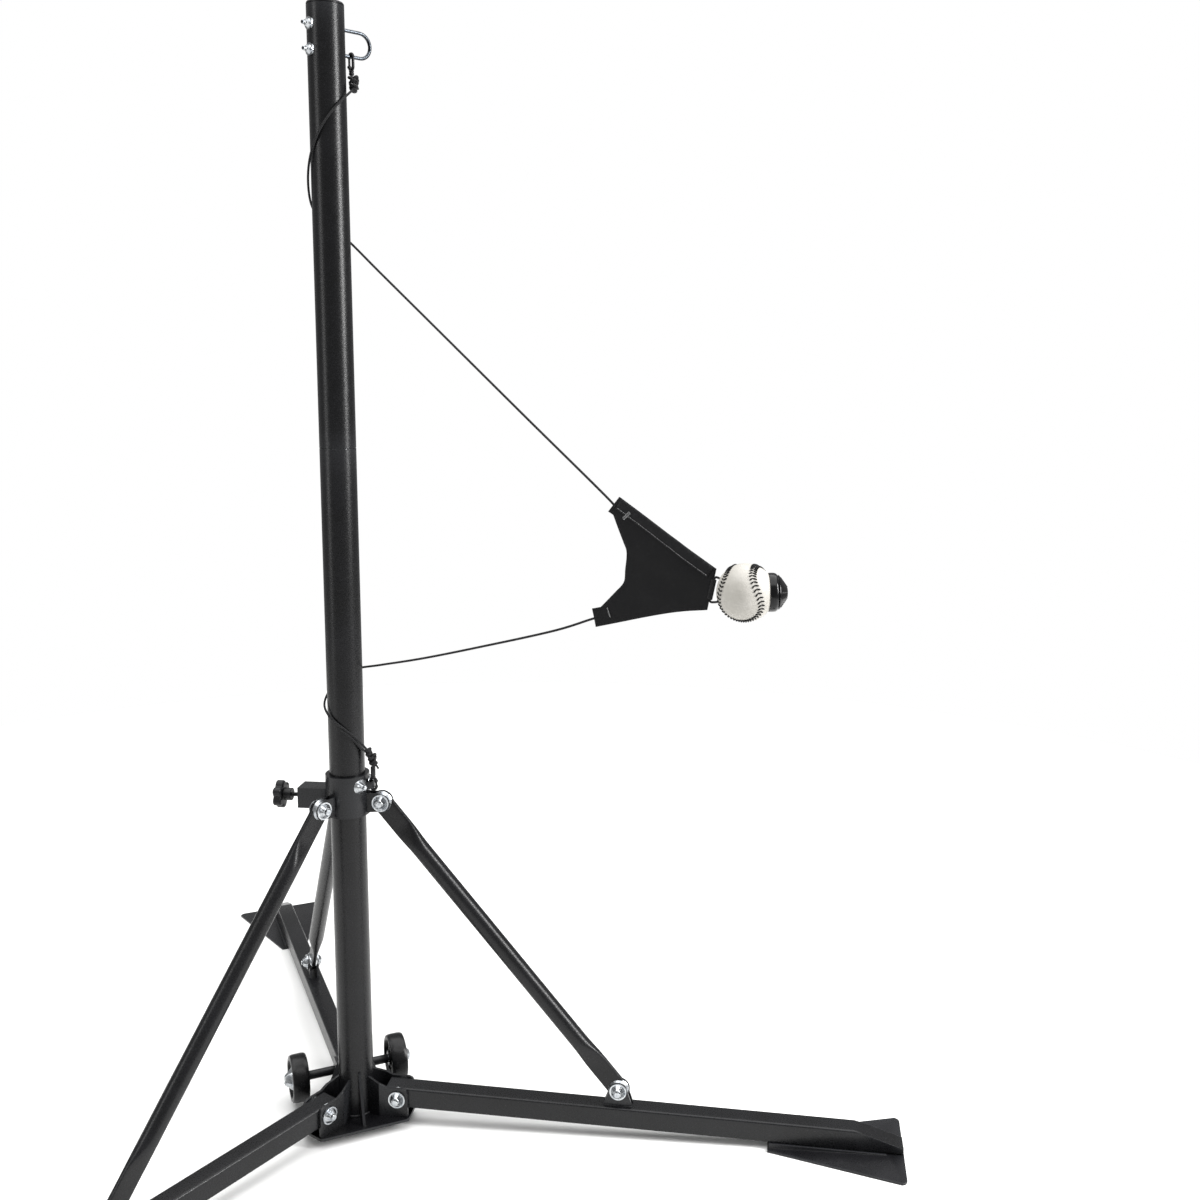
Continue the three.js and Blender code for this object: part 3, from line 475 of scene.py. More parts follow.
def smooth_route(points, step):
    """Centripetal Catmull-Rom curve through the points, sampled about every step metres."""
    padded = [points[0] * 2 - points[1]] + list(points) + [points[-1] * 2 - points[-2]]
    dense = []
    for i in range(1, len(padded) - 2):
        p = padded[i - 1:i + 3]
        knots = [0.0]
        for a, b in zip(p, p[1:]):
            knots.append(knots[-1] + max((b - a).length, 1e-9) ** 0.5)
        parts = max(2, round((p[2] - p[1]).length / step))
        for j in range(parts):
            t = knots[1] + (knots[2] - knots[1]) * j / parts
            a = [p[k] * ((knots[k + 1] - t) / (knots[k + 1] - knots[k]))
                 + p[k + 1] * ((t - knots[k]) / (knots[k + 1] - knots[k])) for k in range(3)]
            b = [a[k] * ((knots[k + 2] - t) / (knots[k + 2] - knots[k]))
                 + a[k + 1] * ((t - knots[k]) / (knots[k + 2] - knots[k])) for k in range(2)]
            dense.append(b[0] * ((knots[2] - t) / (knots[2] - knots[1]))
                         + b[1] * ((t - knots[1]) / (knots[2] - knots[1])))
    dense.append(points[-1].copy())
    return dense


# ---- cords --------------------------------------------------------------------------------------------
# Wrapped part: radius in mm, azimuth, height in mm. Free part: mm along the sling plane, height in mm.
CORD_UPPER_WRAP = [
    (39, 44, 1520.5), (38, 36, 1513), (35, 14, 1503), (31, -12, 1493), (28.6, -42, 1480), (28, -70, 1464),
    (28, -96, 1446), (28, -120, 1426), (28.3, -142, 1406), (29.2, -160, 1385), (29.2, -174, 1363),
    (28.4, -190, 1346), (27.9, -212, 1333), (27.8, -240, 1323), (27.8, -268, 1313),
]
CORD_UPPER_FREE = [(2, 1301.4), (60, 1252.8), (160, 1169.2), (290, 1060.4), (420.9, 951.3), (427.9, 944.6)]
CORD_LOWER_WRAP = [
    (41.5, -14, 545), (40, -10, 554), (37, -14, 566), (32.5, -32, 582), (28.8, -54, 596), (28, -80, 608),
    (28, -110, 619), (28.4, -140, 629), (29.4, -163, 638), (28.6, -185, 647), (27.9, -212, 657),
    (27.8, -245, 668), (27.8, -275, 678),
]
CORD_LOWER_FREE = [(2, 684.5), (40, 693.4), (114, 710.6), (216, 738), (344, 775), (388.5, 791.7), (396.5, 794.6)]


def cord_points(wrap, free):
    wrapped = [Vector((r * math.cos(rad(a)), r * math.sin(rad(a)), z)) / 1000 for r, a, z in wrap]
    return wrapped + [tether_point(s / 1000, z / 1000) for s, z in free]


def cord_piece(name, points, node, body=None, radius=CORD_R, step=0.0025, sides=16):
    path = smooth_route(points, step)
    bm = bmesh.new()
    uv = bm.loops.layers.uv.new("run")
    swept(bm, path, disc(radius, sides), uv=uv)
    obj = piece(name, bm, CORD, body, (node,), smooth=80)
    return obj, path


upper_cord, upper_path = cord_piece("upper_cord", cord_points(CORD_UPPER_WRAP, CORD_UPPER_FREE), "cord_upper")
lower_cord, lower_path = cord_piece("lower_cord", cord_points(CORD_LOWER_WRAP, CORD_LOWER_FREE), "cord_lower")


def knot(name, centre, size, lean, tail=None):
    """Knot pulled tight: two trefoils of the same cord through each other, with a cut tail if it has one."""
    bm = bmesh.new()
    uv = bm.loops.layers.uv.new("run")
    for tilt, turn, share in ((80, 0, 1.0), (35, 60, 0.78)):
        spin = (Matrix.Translation(centre) @ Matrix.Rotation(rad(lean), 4, "Z") @ Matrix.Rotation(rad(tilt), 4, "X")
                @ Matrix.Rotation(rad(turn), 4, "Z"))
        turns = []
        for i in range(90):
            t = 2 * math.pi * i / 90
            turns.append(spin @ (Vector((math.sin(t) + 2 * math.sin(2 * t), math.cos(t) - 2 * math.cos(2 * t),
                                         -1.8 * math.sin(3 * t))) * share * (size - CORD_R) / 3))
        swept(bm, turns, disc(CORD_R * 1.25, 12), closed=True, uv=uv)
    if tail:
        centre = Vector(centre)
        ends = [centre, centre + Vector(tail) * 0.5 + Vector((0.001, -0.001, 0.001)), centre + Vector(tail)]
        swept(bm, smooth_route(ends, 0.0015), disc(CORD_R * 0.9, 12), uv=uv)
    return piece(name, bm, CORD, "stand", smooth=80)


def beside_pole(radius, azimuth, height):
    return ray(azimuth) @ Vector((radius, 0, height))


upper_knots = [
    knot("upper_knot_1", beside_pole(0.0395, 40, 1.5165), 0.0088, EYE_AZ, (0.007, -0.004, -0.0125)),
    knot("upper_knot_2", beside_pole(0.0350, 15, 1.5035), 0.0068, EYE_AZ + 70),
]
lower_knots = [
    knot("lower_knot_1", beside_pole(0.0410, -12, 0.5520), 0.0060, STRAP_AZ, (0.008, -0.003, -0.007)),
    knot("lower_knot_2", beside_pole(0.0390, -12, 0.5610), 0.0078, STRAP_AZ + 50),
    knot("lower_knot_3", beside_pole(0.0360, -18, 0.5700), 0.0068, STRAP_AZ + 110),
]

# The lower cord's spare end is tucked back along it, under the first part of its turn.
spare = [beside_pole(r / 1000, azimuth, z / 1000) for r, azimuth, z in (
    (36, -18, 569), (31, -34, 576.5), (28.2, -54, 590), (27.8, -76, 601.5), (27.8, -92, 607.5))]
bm = bmesh.new()
uv = bm.loops.layers.uv.new("run")
swept(bm, smooth_route(spare, 0.0025), disc(CORD_R, 16), uv=uv)
lower_knots.append(piece("lower_cord_spare_end", bm, CORD, "stand", smooth=80))


# ---- pole ---------------------------------------------------------------------------------------------
def pole_tube(name, low, high, node, holes=False):
    ease = 0.0006
    bm = bmesh.new()
    rows = [low + ease + (high - low - 2 * ease) * i / 24 for i in range(25)]
    outer = [(POLE_R - ease, low)] + [(POLE_R, z) for z in rows] + [(POLE_R - ease, high)]
    revolved(bm, outer + [(POLE_BORE, high), (POLE_BORE, low)], 96, loop=True)
    return piece(name, bm, COAT, "stand", (node,), smooth=30)


pole_tube("lower_tube", POLE_FOOT_Z, POLE_JOINT_Z - 0.00015, "pole_lower")
pole_tube("upper_tube", POLE_JOINT_Z + 0.00015, POLE_TOP_Z, "pole_upper")

bm = bmesh.new()
top = POLE_TOP_Z + 0.0003
revolved(bm, [(0, top - 0.022), (0.0215, top - 0.022), (0.0229, top - 0.020), (0.0231, top - 0.0002),
              (0.0252, top), (0.0254, top + 0.0008), (0.0251, top + 0.0022), (0.0243, top + 0.0034),
              (0.0226, top + 0.0042), (0.018, top + 0.0046), (0, top + 0.0048)], 72)
piece("top_plug", bm, NYLON, "stand", ("pole_cap",), smooth=40)

# Weld bead round the pole's foot: overlapping ripples about 3 mm apart.
random.seed(4)
bm = bmesh.new()
ring = [Vector((0.0272 * math.cos(2 * math.pi * i / 220), 0.0272 * math.sin(2 * math.pi * i / 220), 0.0182))
        for i in range(220)]
ripple = [(1 + 0.16 * abs(math.sin(i * math.pi / 4.4)) + random.uniform(-0.05, 0.05),) * 2 for i in range(220)]
swept(bm, ring, disc(0.0019, 10), scale=ripple, closed=True)
piece("foot_weld", bm, COAT_PAINTED_LIT, "stand", smooth=60)

piece("base_weldment", cad_copy("base_frame"), COAT, "stand", ("base_frame",), bevel=0.0005)


# ---- legs, feet and braces ----------------------------------------------------------------------------
def leg_mesh(azimuth):
    """Square tube with 3 mm corners, open at the heel, its tip closed by a sloping plate; two lugs on top."""
    corner = 0.003
    place = leg_frame(azimuth)
    shell = []
    for cx, cy, start in ((1, 1, 0), (-1, 1, 90), (-1, -1, 180), (1, -1, 270)):
        edge = LEG_HALF - corner
        shell += arc(cx * edge, cy * edge, corner, start, start + 90, 5)
    hollow = [(y * 0.86, z * 0.86) for y, z in shell]
    stations = [LEG_HEEL + (LEG_TIP - LEG_BEVEL - LEG_HEEL) * i / 12 for i in range(13)]
    stations += [LEG_TIP - LEG_BEVEL + LEG_BEVEL * i / 6 for i in range(1, 7)]
    bm = bmesh.new()
    rings = []
    for x in stations:
        past = max(0.0, x - (LEG_TIP - LEG_BEVEL)) / LEG_BEVEL
        roof = LEG_HALF - past * (2 * LEG_HALF - LEG_TIP_H)
        rings.append([bm.verts.new(place @ Vector((x, y, min(z, roof)))) for y, z in shell])
    inner = [[bm.verts.new(place @ Vector((x, y, z))) for y, z in hollow] for x in (LEG_HEEL, LEG_HEEL + 0.12)]
    n = len(shell)
    faces = []
    for low, high in [*zip(rings, rings[1:]), (inner[0], inner[1])]:
        for i in range(n):
            faces.append(bm.faces.new([low[i], low[(i + 1) % n], high[(i + 1) % n], high[i]]))
    for i in range(n):
        faces.append(bm.faces.new([rings[0][i], rings[0][(i + 1) % n], inner[0][(i + 1) % n], inner[0][i]]))
    faces.append(bm.faces.new(rings[-1]))
    faces.append(bm.faces.new(inner[1]))
    bmesh.ops.recalc_face_normals(bm, faces=faces)
    px, pz = BRACE_PIN
    for side in (-1, 1):
        outline = [(px - 0.022, 0.0146), (px + 0.022, 0.0146)] + arc(px, pz, 0.013, 8, 172, 20)
        low, high = sorted((side * 0.0045, side * 0.0075))
        slab(bm, outline, low, high, place @ UPRIGHT)
        # fillet weld along the lug's foot
        weld = [place @ Vector((px - 0.021 + 0.042 * i / 20, side * 0.0079, 0.0152)) for i in range(21)]
        swept(bm, weld, disc(0.0013, 8))
    return bm


def brace_mesh(azimuth):
    """Round tube with both ends pressed flat round their pins."""
    foot = leg_frame(azimuth) @ Vector((BRACE_PIN[0], 0, BRACE_PIN[1]))
    head = ray(azimuth) @ Vector((COLLAR_PIN[0], 0, COLLAR_PIN[1]))
    way = (head - foot).normalized()
    across = (ray(azimuth) @ Vector((0, 1, 0))).normalized()
    length = (head - foot).length
    over, flat, taper = 0.0145, 0.044, 0.048
    places = []
    for i in range(11):
        places.append(-over + over * (1 - math.cos(math.pi / 2 * i / 10)))
    places += [flat * i / 5 for i in range(1, 6)]
    places += [flat + taper * i / 10 for i in range(1, 11)]
    half = length / 2
    places += [flat + taper + (half - flat - taper) * i / 6 for i in range(1, 7)]
    places += [length - x for x in reversed(places[:-1])]
    bm = bmesh.new()
    wide_way = way.cross(across)
    rings = []
    for x in places:
        inward = min(x, length - x)
        t = min(max((inward - flat) / taper, 0), 1)
        t = t * t * (3 - 2 * t)
        a = 0.0145 + (0.0127 - 0.0145) * t
        b = 0.004 + (0.0127 - 0.004) * t
        if inward < 0:
            a = max(math.sqrt(max(over * over - inward * inward, 0)), 0.0012)
        ring = []
        for k in range(40):
            angle = 2 * math.pi * k / 40
            c, s = math.cos(angle), math.sin(angle)
            u = a * math.copysign(abs(c) ** (0.5 + 0.5 * t), c)
            v = b * math.copysign(abs(s) ** (0.3 + 0.7 * t), s)
            ring.append(bm.verts.new(foot + way * x + wide_way * u + across * v))
        rings.append(ring)
    faces = []
    for low, high in zip(rings, rings[1:]):
        for k in range(40):
            faces.append(bm.faces.new([low[k], low[(k + 1) % 40], high[(k + 1) % 40], high[k]]))
    faces.append(bm.faces.new(rings[0][::-1]))
    faces.append(bm.faces.new(rings[-1]))
    bmesh.ops.recalc_face_normals(bm, faces=faces)
    return bm


for number, azimuth in enumerate(LEG_AZ, 1):
    arm = f"leg_{number}_arm"
    piece(f"leg_tube_{number}", leg_mesh(azimuth), COAT, arm, (f"leg_{number}",),
          bevel=0.0004, smooth=30)
    piece(f"foot_plate_{number}", cad_copy(f"foot_{number}"), COAT_PAINTED_LIT, arm, (f"foot_{number}",),
          bevel=0.0007)
    piece(f"brace_tube_{number}", brace_mesh(azimuth), COAT, f"brace_{number}_arm", (f"brace_{number}",),
          smooth=50)

# ---- collar, clamp knob and eye strap -----------------------------------------------------------------
piece("collar_sleeve", cad_copy("collar"), COAT, "collar_slider", ("collar",), bevel=0.0006)
piece("knob_grip", cad_copy("knob"), NYLON, "clamp_knob", ("knob",), bevel=0.0009, segments=3,
      smooth=38)
piece("eye_strap", cad_copy("collar_eye"), COAT, "collar_slider", ("collar_eye",), bevel=0.0004)


def threaded(bm, start, end, radius, place, pitch=0.00125):
    """Screw thread drawn as ridges one pitch apart, with a chamfered end."""
    rows = [(0, start), (radius * 0.94, start)]
    z = start
    while z < end - pitch:
        rows += [(radius * 0.9, z + pitch * 0.15), (radius, z + pitch * 0.5), (radius * 0.9, z + pitch * 0.9)]
        z += pitch
    rows += [(radius * 0.9, end - 0.0006), (radius * 0.72, end), (0, end)]
    revolved(bm, rows, 28, place)


bm = bmesh.new()
threaded(bm, POLE_R + 0.0003, 0.101, 0.003, ray(BOSS_AZ) @ Matrix.Translation((0, 0, 0.5))
         @ Matrix.Rotation(rad(90), 4, "Y"), 0.001)
piece("knob_stud", bm, COAT, "clamp_knob", ("knob_screw",), smooth=50)


# ---- fasteners: one node tree sets a hexagon head or nut, its washer and its threaded end --------------
def fastener_tree():
    tree = bpy.data.node_groups.new("set_fasteners", "GeometryNodeTree")
    face = tree.interface
    face.new_socket("Geometry", in_out="INPUT", socket_type="NodeSocketGeometry")
    for label in ("Across flats", "Head height", "Washer diameter", "Washer thickness", "Seat gap",
                  "Shank diameter", "Shank out", "Shank in"):
        face.new_socket(label, in_out="INPUT", socket_type="NodeSocketFloat")
    face.new_socket("Finish", in_out="INPUT", socket_type="NodeSocketMaterial")
    face.new_socket("Geometry", in_out="OUTPUT", socket_type="NodeSocketGeometry")
    given = put(tree, "NodeGroupInput").outputs

    def maths(operation, a, b):
        return put(tree, "ShaderNodeMath", {0: a, 1: b}, operation=operation).outputs[0]

    def cylinder(sides, radius, low, high):
        depth = maths("SUBTRACT", high, low)
        middle = put(tree, "ShaderNodeCombineXYZ", {"Z": maths("ADD", low, maths("MULTIPLY", depth, 0.5))})
        solid = put(tree, "GeometryNodeMeshCylinder", {"Vertices": sides, "Radius": radius, "Depth": depth})
        return put(tree, "GeometryNodeTransform", {
            "Geometry": solid.outputs["Mesh"], "Translation": middle.outputs[0]}).outputs[0]

    washer_top = maths("ADD", given["Seat gap"], given["Washer thickness"])
    head_top = maths("ADD", washer_top, given["Head height"])
    hexagon = cylinder(6, maths("DIVIDE", given["Across flats"], math.sqrt(3)), washer_top, head_top)
    # A cone cut across the hexagon's corners gives the turned chamfer of a real nut.
    cone = put(tree, "GeometryNodeMeshCone", {
        "Vertices": 48, "Radius Top": maths("MULTIPLY", given["Across flats"], 0.46),
        "Radius Bottom": maths("MULTIPLY", given["Across flats"], 1.25),
        "Depth": maths("MULTIPLY", given["Head height"], 2.2)})
    cone_low = put(tree, "ShaderNodeCombineXYZ", {
        "Z": maths("SUBTRACT", head_top, maths("MULTIPLY", given["Head height"], 2.2))})
    cone = put(tree, "GeometryNodeTransform", {"Geometry": cone.outputs["Mesh"],
                                               "Translation": cone_low.outputs[0]})
    head = put(tree, "GeometryNodeMeshBoolean", {"Mesh 2": hexagon}, operation="INTERSECT")
    tree.links.new(cone.outputs[0], head.inputs["Mesh 2"])
    washer = cylinder(56, maths("DIVIDE", given["Washer diameter"], 2), given["Seat gap"], washer_top)
    radius = maths("DIVIDE", given["Shank diameter"], 2)
    shank = cylinder(28, maths("MULTIPLY", radius, 0.93), maths("MULTIPLY", given["Shank in"], -1),
                     given["Shank out"])
    # The thread is a small ridge wound round the shank's outer end, 1.25 mm a turn.
    turns = maths("DIVIDE", maths("SUBTRACT", given["Shank out"], head_top), 0.00125)
    coil = put(tree, "GeometryNodeCurveSpiral", {
        "Resolution": 24, "Rotations": maths("MAXIMUM", turns, 0.5), "Start Radius": maths("MULTIPLY", radius, 0.93),
        "End Radius": maths("MULTIPLY", radius, 0.93),
        "Height": maths("MAXIMUM", maths("SUBTRACT", given["Shank out"], head_top), 0.0006)})
    lift = put(tree, "ShaderNodeCombineXYZ", {"Z": head_top})
    ridge = put(tree, "GeometryNodeCurvePrimitiveCircle", {"Resolution": 4, "Radius": 0.0004})
    wound = put(tree, "GeometryNodeCurveToMesh", {
        "Curve": coil.outputs[0], "Profile Curve": ridge.outputs["Curve"], "Fill Caps": True})
    thread = put(tree, "GeometryNodeTransform", {"Geometry": wound.outputs[0], "Translation": lift.outputs[0]})
    whole = put(tree, "GeometryNodeJoinGeometry")
    for part in (head.outputs["Mesh"], washer, shank, thread.outputs[0]):
        tree.links.new(part, whole.inputs[0])
    way = put(tree, "GeometryNodeInputNamedAttribute", {"Name": "way"}, data_type="FLOAT_VECTOR")
    turned = put(tree, "FunctionNodeAlignRotationToVector", {"Vector": way.outputs["Attribute"]}, axis="Z")
    placed = put(tree, "GeometryNodeInstanceOnPoints", {
        "Points": given["Geometry"], "Instance": whole.outputs[0], "Rotation": turned.outputs[0]})
    real = put(tree, "GeometryNodeRealizeInstances", {"Geometry": placed.outputs[0]})
    finished = put(tree, "GeometryNodeSetMaterial", {"Geometry": real.outputs[0], "Material": given["Finish"]})
    put(tree, "NodeGroupOutput", {"Geometry": finished.outputs[0]})
    return tree


def stitch_tree():
    """A short fat thread at each point, lying along its way."""
    tree = bpy.data.node_groups.new("sew_stitches", "GeometryNodeTree")
    face = tree.interface
    face.new_socket("Geometry", in_out="INPUT", socket_type="NodeSocketGeometry")
    for label in ("Length", "Thread diameter"):
        face.new_socket(label, in_out="INPUT", socket_type="NodeSocketFloat")
    face.new_socket("Finish", in_out="INPUT", socket_type="NodeSocketMaterial")
    face.new_socket("Geometry", in_out="OUTPUT", socket_type="NodeSocketGeometry")
    given = put(tree, "NodeGroupInput").outputs
    bead = put(tree, "GeometryNodeMeshUVSphere", {"Segments": 8, "Rings": 7, "Radius": 0.5})
    size = put(tree, "ShaderNodeCombineXYZ", {
        "X": given["Thread diameter"], "Y": given["Thread diameter"], "Z": given["Length"]})
    bead = put(tree, "GeometryNodeTransform", {"Geometry": bead.outputs["Mesh"], "Scale": size.outputs[0]})
    way = put(tree, "GeometryNodeInputNamedAttribute", {"Name": "way"}, data_type="FLOAT_VECTOR")
    turned = put(tree, "FunctionNodeAlignRotationToVector", {"Vector": way.outputs["Attribute"]}, axis="Z")
    placed = put(tree, "GeometryNodeInstanceOnPoints", {
        "Points": given["Geometry"], "Instance": bead.outputs[0], "Rotation": turned.outputs[0]})
    real = put(tree, "GeometryNodeRealizeInstances", {"Geometry": placed.outputs[0]})
    finished = put(tree, "GeometryNodeSetMaterial", {"Geometry": real.outputs[0], "Material": given["Finish"]})
    put(tree, "NodeGroupOutput", {"Geometry": finished.outputs[0]})
    return tree


FASTENERS = fastener_tree()
STITCHES = stitch_tree()


def laid_out(name, tree, places, inputs, body, stands_for=(), smooth=30):
    """Runs a node tree over points with a way each, and keeps the result as a plain mesh."""
    mesh = bpy.data.meshes.new(name + "_places")
    mesh.from_pydata([tuple(point) for point, _ in places], [], [])
    ways = mesh.attributes.new("way", "FLOAT_VECTOR", "POINT")
    for item, (_, way) in zip(ways.data, places):
        item.vector = way
    seat = bpy.data.objects.new(name + "_places", mesh)
    scene.collection.objects.link(seat)
    modifier = seat.modifiers.new("laid", "NODES")
    modifier.node_group = tree
    for item in tree.interface.items_tree:
        if item.item_type == "SOCKET" and item.in_out == "INPUT" and item.name in inputs:
            modifier[item.identifier] = inputs[item.name]
    bpy.context.view_layer.update()
    depsgraph = bpy.context.evaluated_depsgraph_get()
    plain = bpy.data.meshes.new_from_object(seat.evaluated_get(depsgraph))
    bpy.data.objects.remove(seat)
    bm = bmesh.new()
    bm.from_mesh(plain)
    bpy.data.meshes.remove(plain)
    bmesh.ops.remove_doubles(bm, verts=bm.verts, dist=1e-7)
    bmesh.ops.recalc_face_normals(bm, faces=bm.faces)
    return piece(name, bm, inputs["Finish"], body, stands_for, smooth=smooth)


def bolt_set(name, body, places, head, out, inward, stands_for, flats=0.013, washer=0.025, thick=0.0020,
             shank=0.008, gap=0.0003, finish_as=ZINC):
    return laid_out(name, FASTENERS, places, {
        "Across flats": flats, "Head height": head, "Washer diameter": washer, "Washer thickness": thick,
        "Seat gap": gap, "Shank diameter": shank, "Shank out": out, "Shank in": inward, "Finish": finish_as,
    }, body, stands_for)


NUT_SIDES = (-1, 1, 1)
EAR_FACE = 0.0195
LUG_FACE = 0.0075


def on_pin(place, point, face, side):
    return place @ Vector((point[0], side * face, point[1])), (place.to_3x3() @ Vector((0, side, 0)))


for number, (azimuth, side) in enumerate(zip(LEG_AZ, NUT_SIDES), 1):
    leg, level = leg_frame(azimuth), ray(azimuth)
    arm = f"leg_{number}_arm"
    bolt_set(f"brace_screw_{number}", arm, [on_pin(leg, BRACE_PIN, LUG_FACE, -side)], 0.0053, 0.0055, 0.024,
             (f"brace_bolt_{number}",))
    bolt_set(f"brace_lock_nut_{number}", arm, [on_pin(leg, BRACE_PIN, LUG_FACE, side)], 0.0065, 0.0110, 0.0,
             (f"brace_nut_{number}",))
    bolt_set(f"collar_screw_{number}", "collar_slider", [on_pin(level, COLLAR_PIN, LUG_FACE, -side)], 0.0053,
             0.0055, 0.0028, (f"collar_bolt_{number}",))
    bolt_set(f"collar_lock_nut_{number}", "collar_slider", [on_pin(level, COLLAR_PIN, LUG_FACE, side)], 0.0065,
             0.0108, 0.0028, (f"collar_nut_{number}",))
    if number < 3:
        bolt_set(f"leg_screw_{number}", "stand", [on_pin(level, LEG_PIVOT, EAR_FACE, -side)], 0.0053, 0.0055,
                 0.047, (f"leg_bolt_{number}",))
        bolt_set(f"leg_lock_nut_{number}", "stand", [on_pin(level, LEG_PIVOT, EAR_FACE, side)], 0.0065, 0.0110,
                 0.0, (f"leg_nut_{number}",))

STRAP_Z = 0.521
strap_places = []
for side in (-1, 1):
    out = (ray(STRAP_AZ + side * 26).to_3x3() @ Vector((1, 0, 0)))
    strap_places.append((out * 0.0341 + Vector((0, 0, STRAP_Z)), out))
bolt_set("strap_screws", "collar_slider", strap_places, 0.0045, 0.0078, 0.0065,
         ("collar_eye_screw_1", "collar_eye_screw_2"), flats=0.009, washer=0.0098, thick=0.0013, shank=0.005,
         gap=0.0)

# ---- top eye bolt -------------------------------------------------------------------------------------
eye = ray(EYE_AZ)
EYE_HIGH, EYE_LOW = 1.583, 1.549
bow = [Vector((-0.0368, 0, EYE_HIGH))]
bow += [Vector((-0.036 + 0.089 * i / 24, 0, EYE_HIGH)) for i in range(25)]
bow += [Vector((0.053 + x, 0, 1.566 + z)) for x, z in arc(0, 0, 0.017, 90, -90, 36)][1:-1]
bow += [Vector((-0.036 + 0.089 * i / 24, 0, EYE_LOW)) for i in range(24, -1, -1)]
bow += [Vector((-0.0368, 0, EYE_LOW))]
bm = bmesh.new()
ends = [(0.78, 0.78)] + [(1, 1)] * (len(bow) - 2) + [(0.78, 0.78)]
swept(bm, [eye @ p for p in bow], disc(0.0025, 20), scale=ends)
piece("eye_bow", bm, CHROME, "stand", ("top_eye",), smooth=60)
eye_places = [(eye @ Vector((-POLE_R, 0, z)), eye.to_3x3() @ Vector((-1, 0, 0))) for z in (EYE_HIGH, EYE_LOW)]
bolt_set("eye_nuts", "stand", eye_places, 0.0045, 0.0105, 0.0, (
    "top_eye_washer_1", "top_eye_washer_2", "top_eye_nut_1", "top_eye_nut_2"), flats=0.008, washer=0.017,
    thick=0.0015, shank=0.0054)


# ---- snap clips ---------------------------------------------------------------------------------------
def snap_clip(name, place, half, barrel, body, node):
    """Moulded snap hook: an oval ring, thick but for its gate, the gate's pivots, and a swivel barrel."""
    bend, wire = 0.0046, 0.0019
    loop = arc(0, half, bend, 0, 180, 14) + arc(0, -half, bend, 180, 360, 14)
    dense = []
    for (x0, z0), (x1, z1) in zip(loop, loop[1:] + loop[:1]):
        parts = 8 if math.hypot(x1 - x0, z1 - z0) > 0.004 else 1
        dense += [(x0 + (x1 - x0) * i / parts, z0 + (z1 - z0) * i / parts) for i in range(parts)]
    sizes = [(0.82, 0.82) if x > 0.003 and abs(z) < half else (1.06, 1.0) for x, z in dense]
    bm = bmesh.new()
    swept(bm, [place @ Vector((x, 0, z)) for x, z in dense], disc(wire, 16), scale=sizes, closed=True)
    for z in (-half, half):
        revolved(bm, [(0, -0.0024), (0.0017, -0.0024), (0.0021, -0.0020), (0.0021, 0.0020), (0.0017, 0.0024),
                      (0, 0.0024)], 20, place @ Matrix.Translation((bend, 0, z)) @ Matrix.Rotation(rad(90), 4, "X"))
    low = half + bend
    revolved(bm, [(0, low), (0.0028, low), (0.0034, low + 0.0007), (0.0034, low + 0.0024), (0.0029, low + 0.0029),
                  (0.0029, low + 0.0033), (0.0035, low + 0.0038), (0.0035, low + barrel - 0.0008),
                  (0.0028, low + barrel), (0, low + barrel)], 24, place)
    return piece(name, bm, NYLON, body, (node,), smooth=50)


def hung(node, turn, height, flip=False):
    """Upright place on a clip's own axis, at a height."""
    low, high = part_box(node)
    middle = (low + high) / 2
    place = Matrix.Translation((middle.x, middle.y, height)) @ ray(turn)
    return place @ Matrix.Rotation(rad(180), 4, "X") if flip else place


snap_clip("upper_snap_clip", hung("clip_upper", EYE_AZ + 90, 1.5422, True), 0.0066, 0.007, "stand", "clip_upper")
snap_clip("lower_snap_clip", hung("clip_lower", STRAP_AZ, 0.5222), 0.0041, 0.017, "collar_slider", "clip_lower")

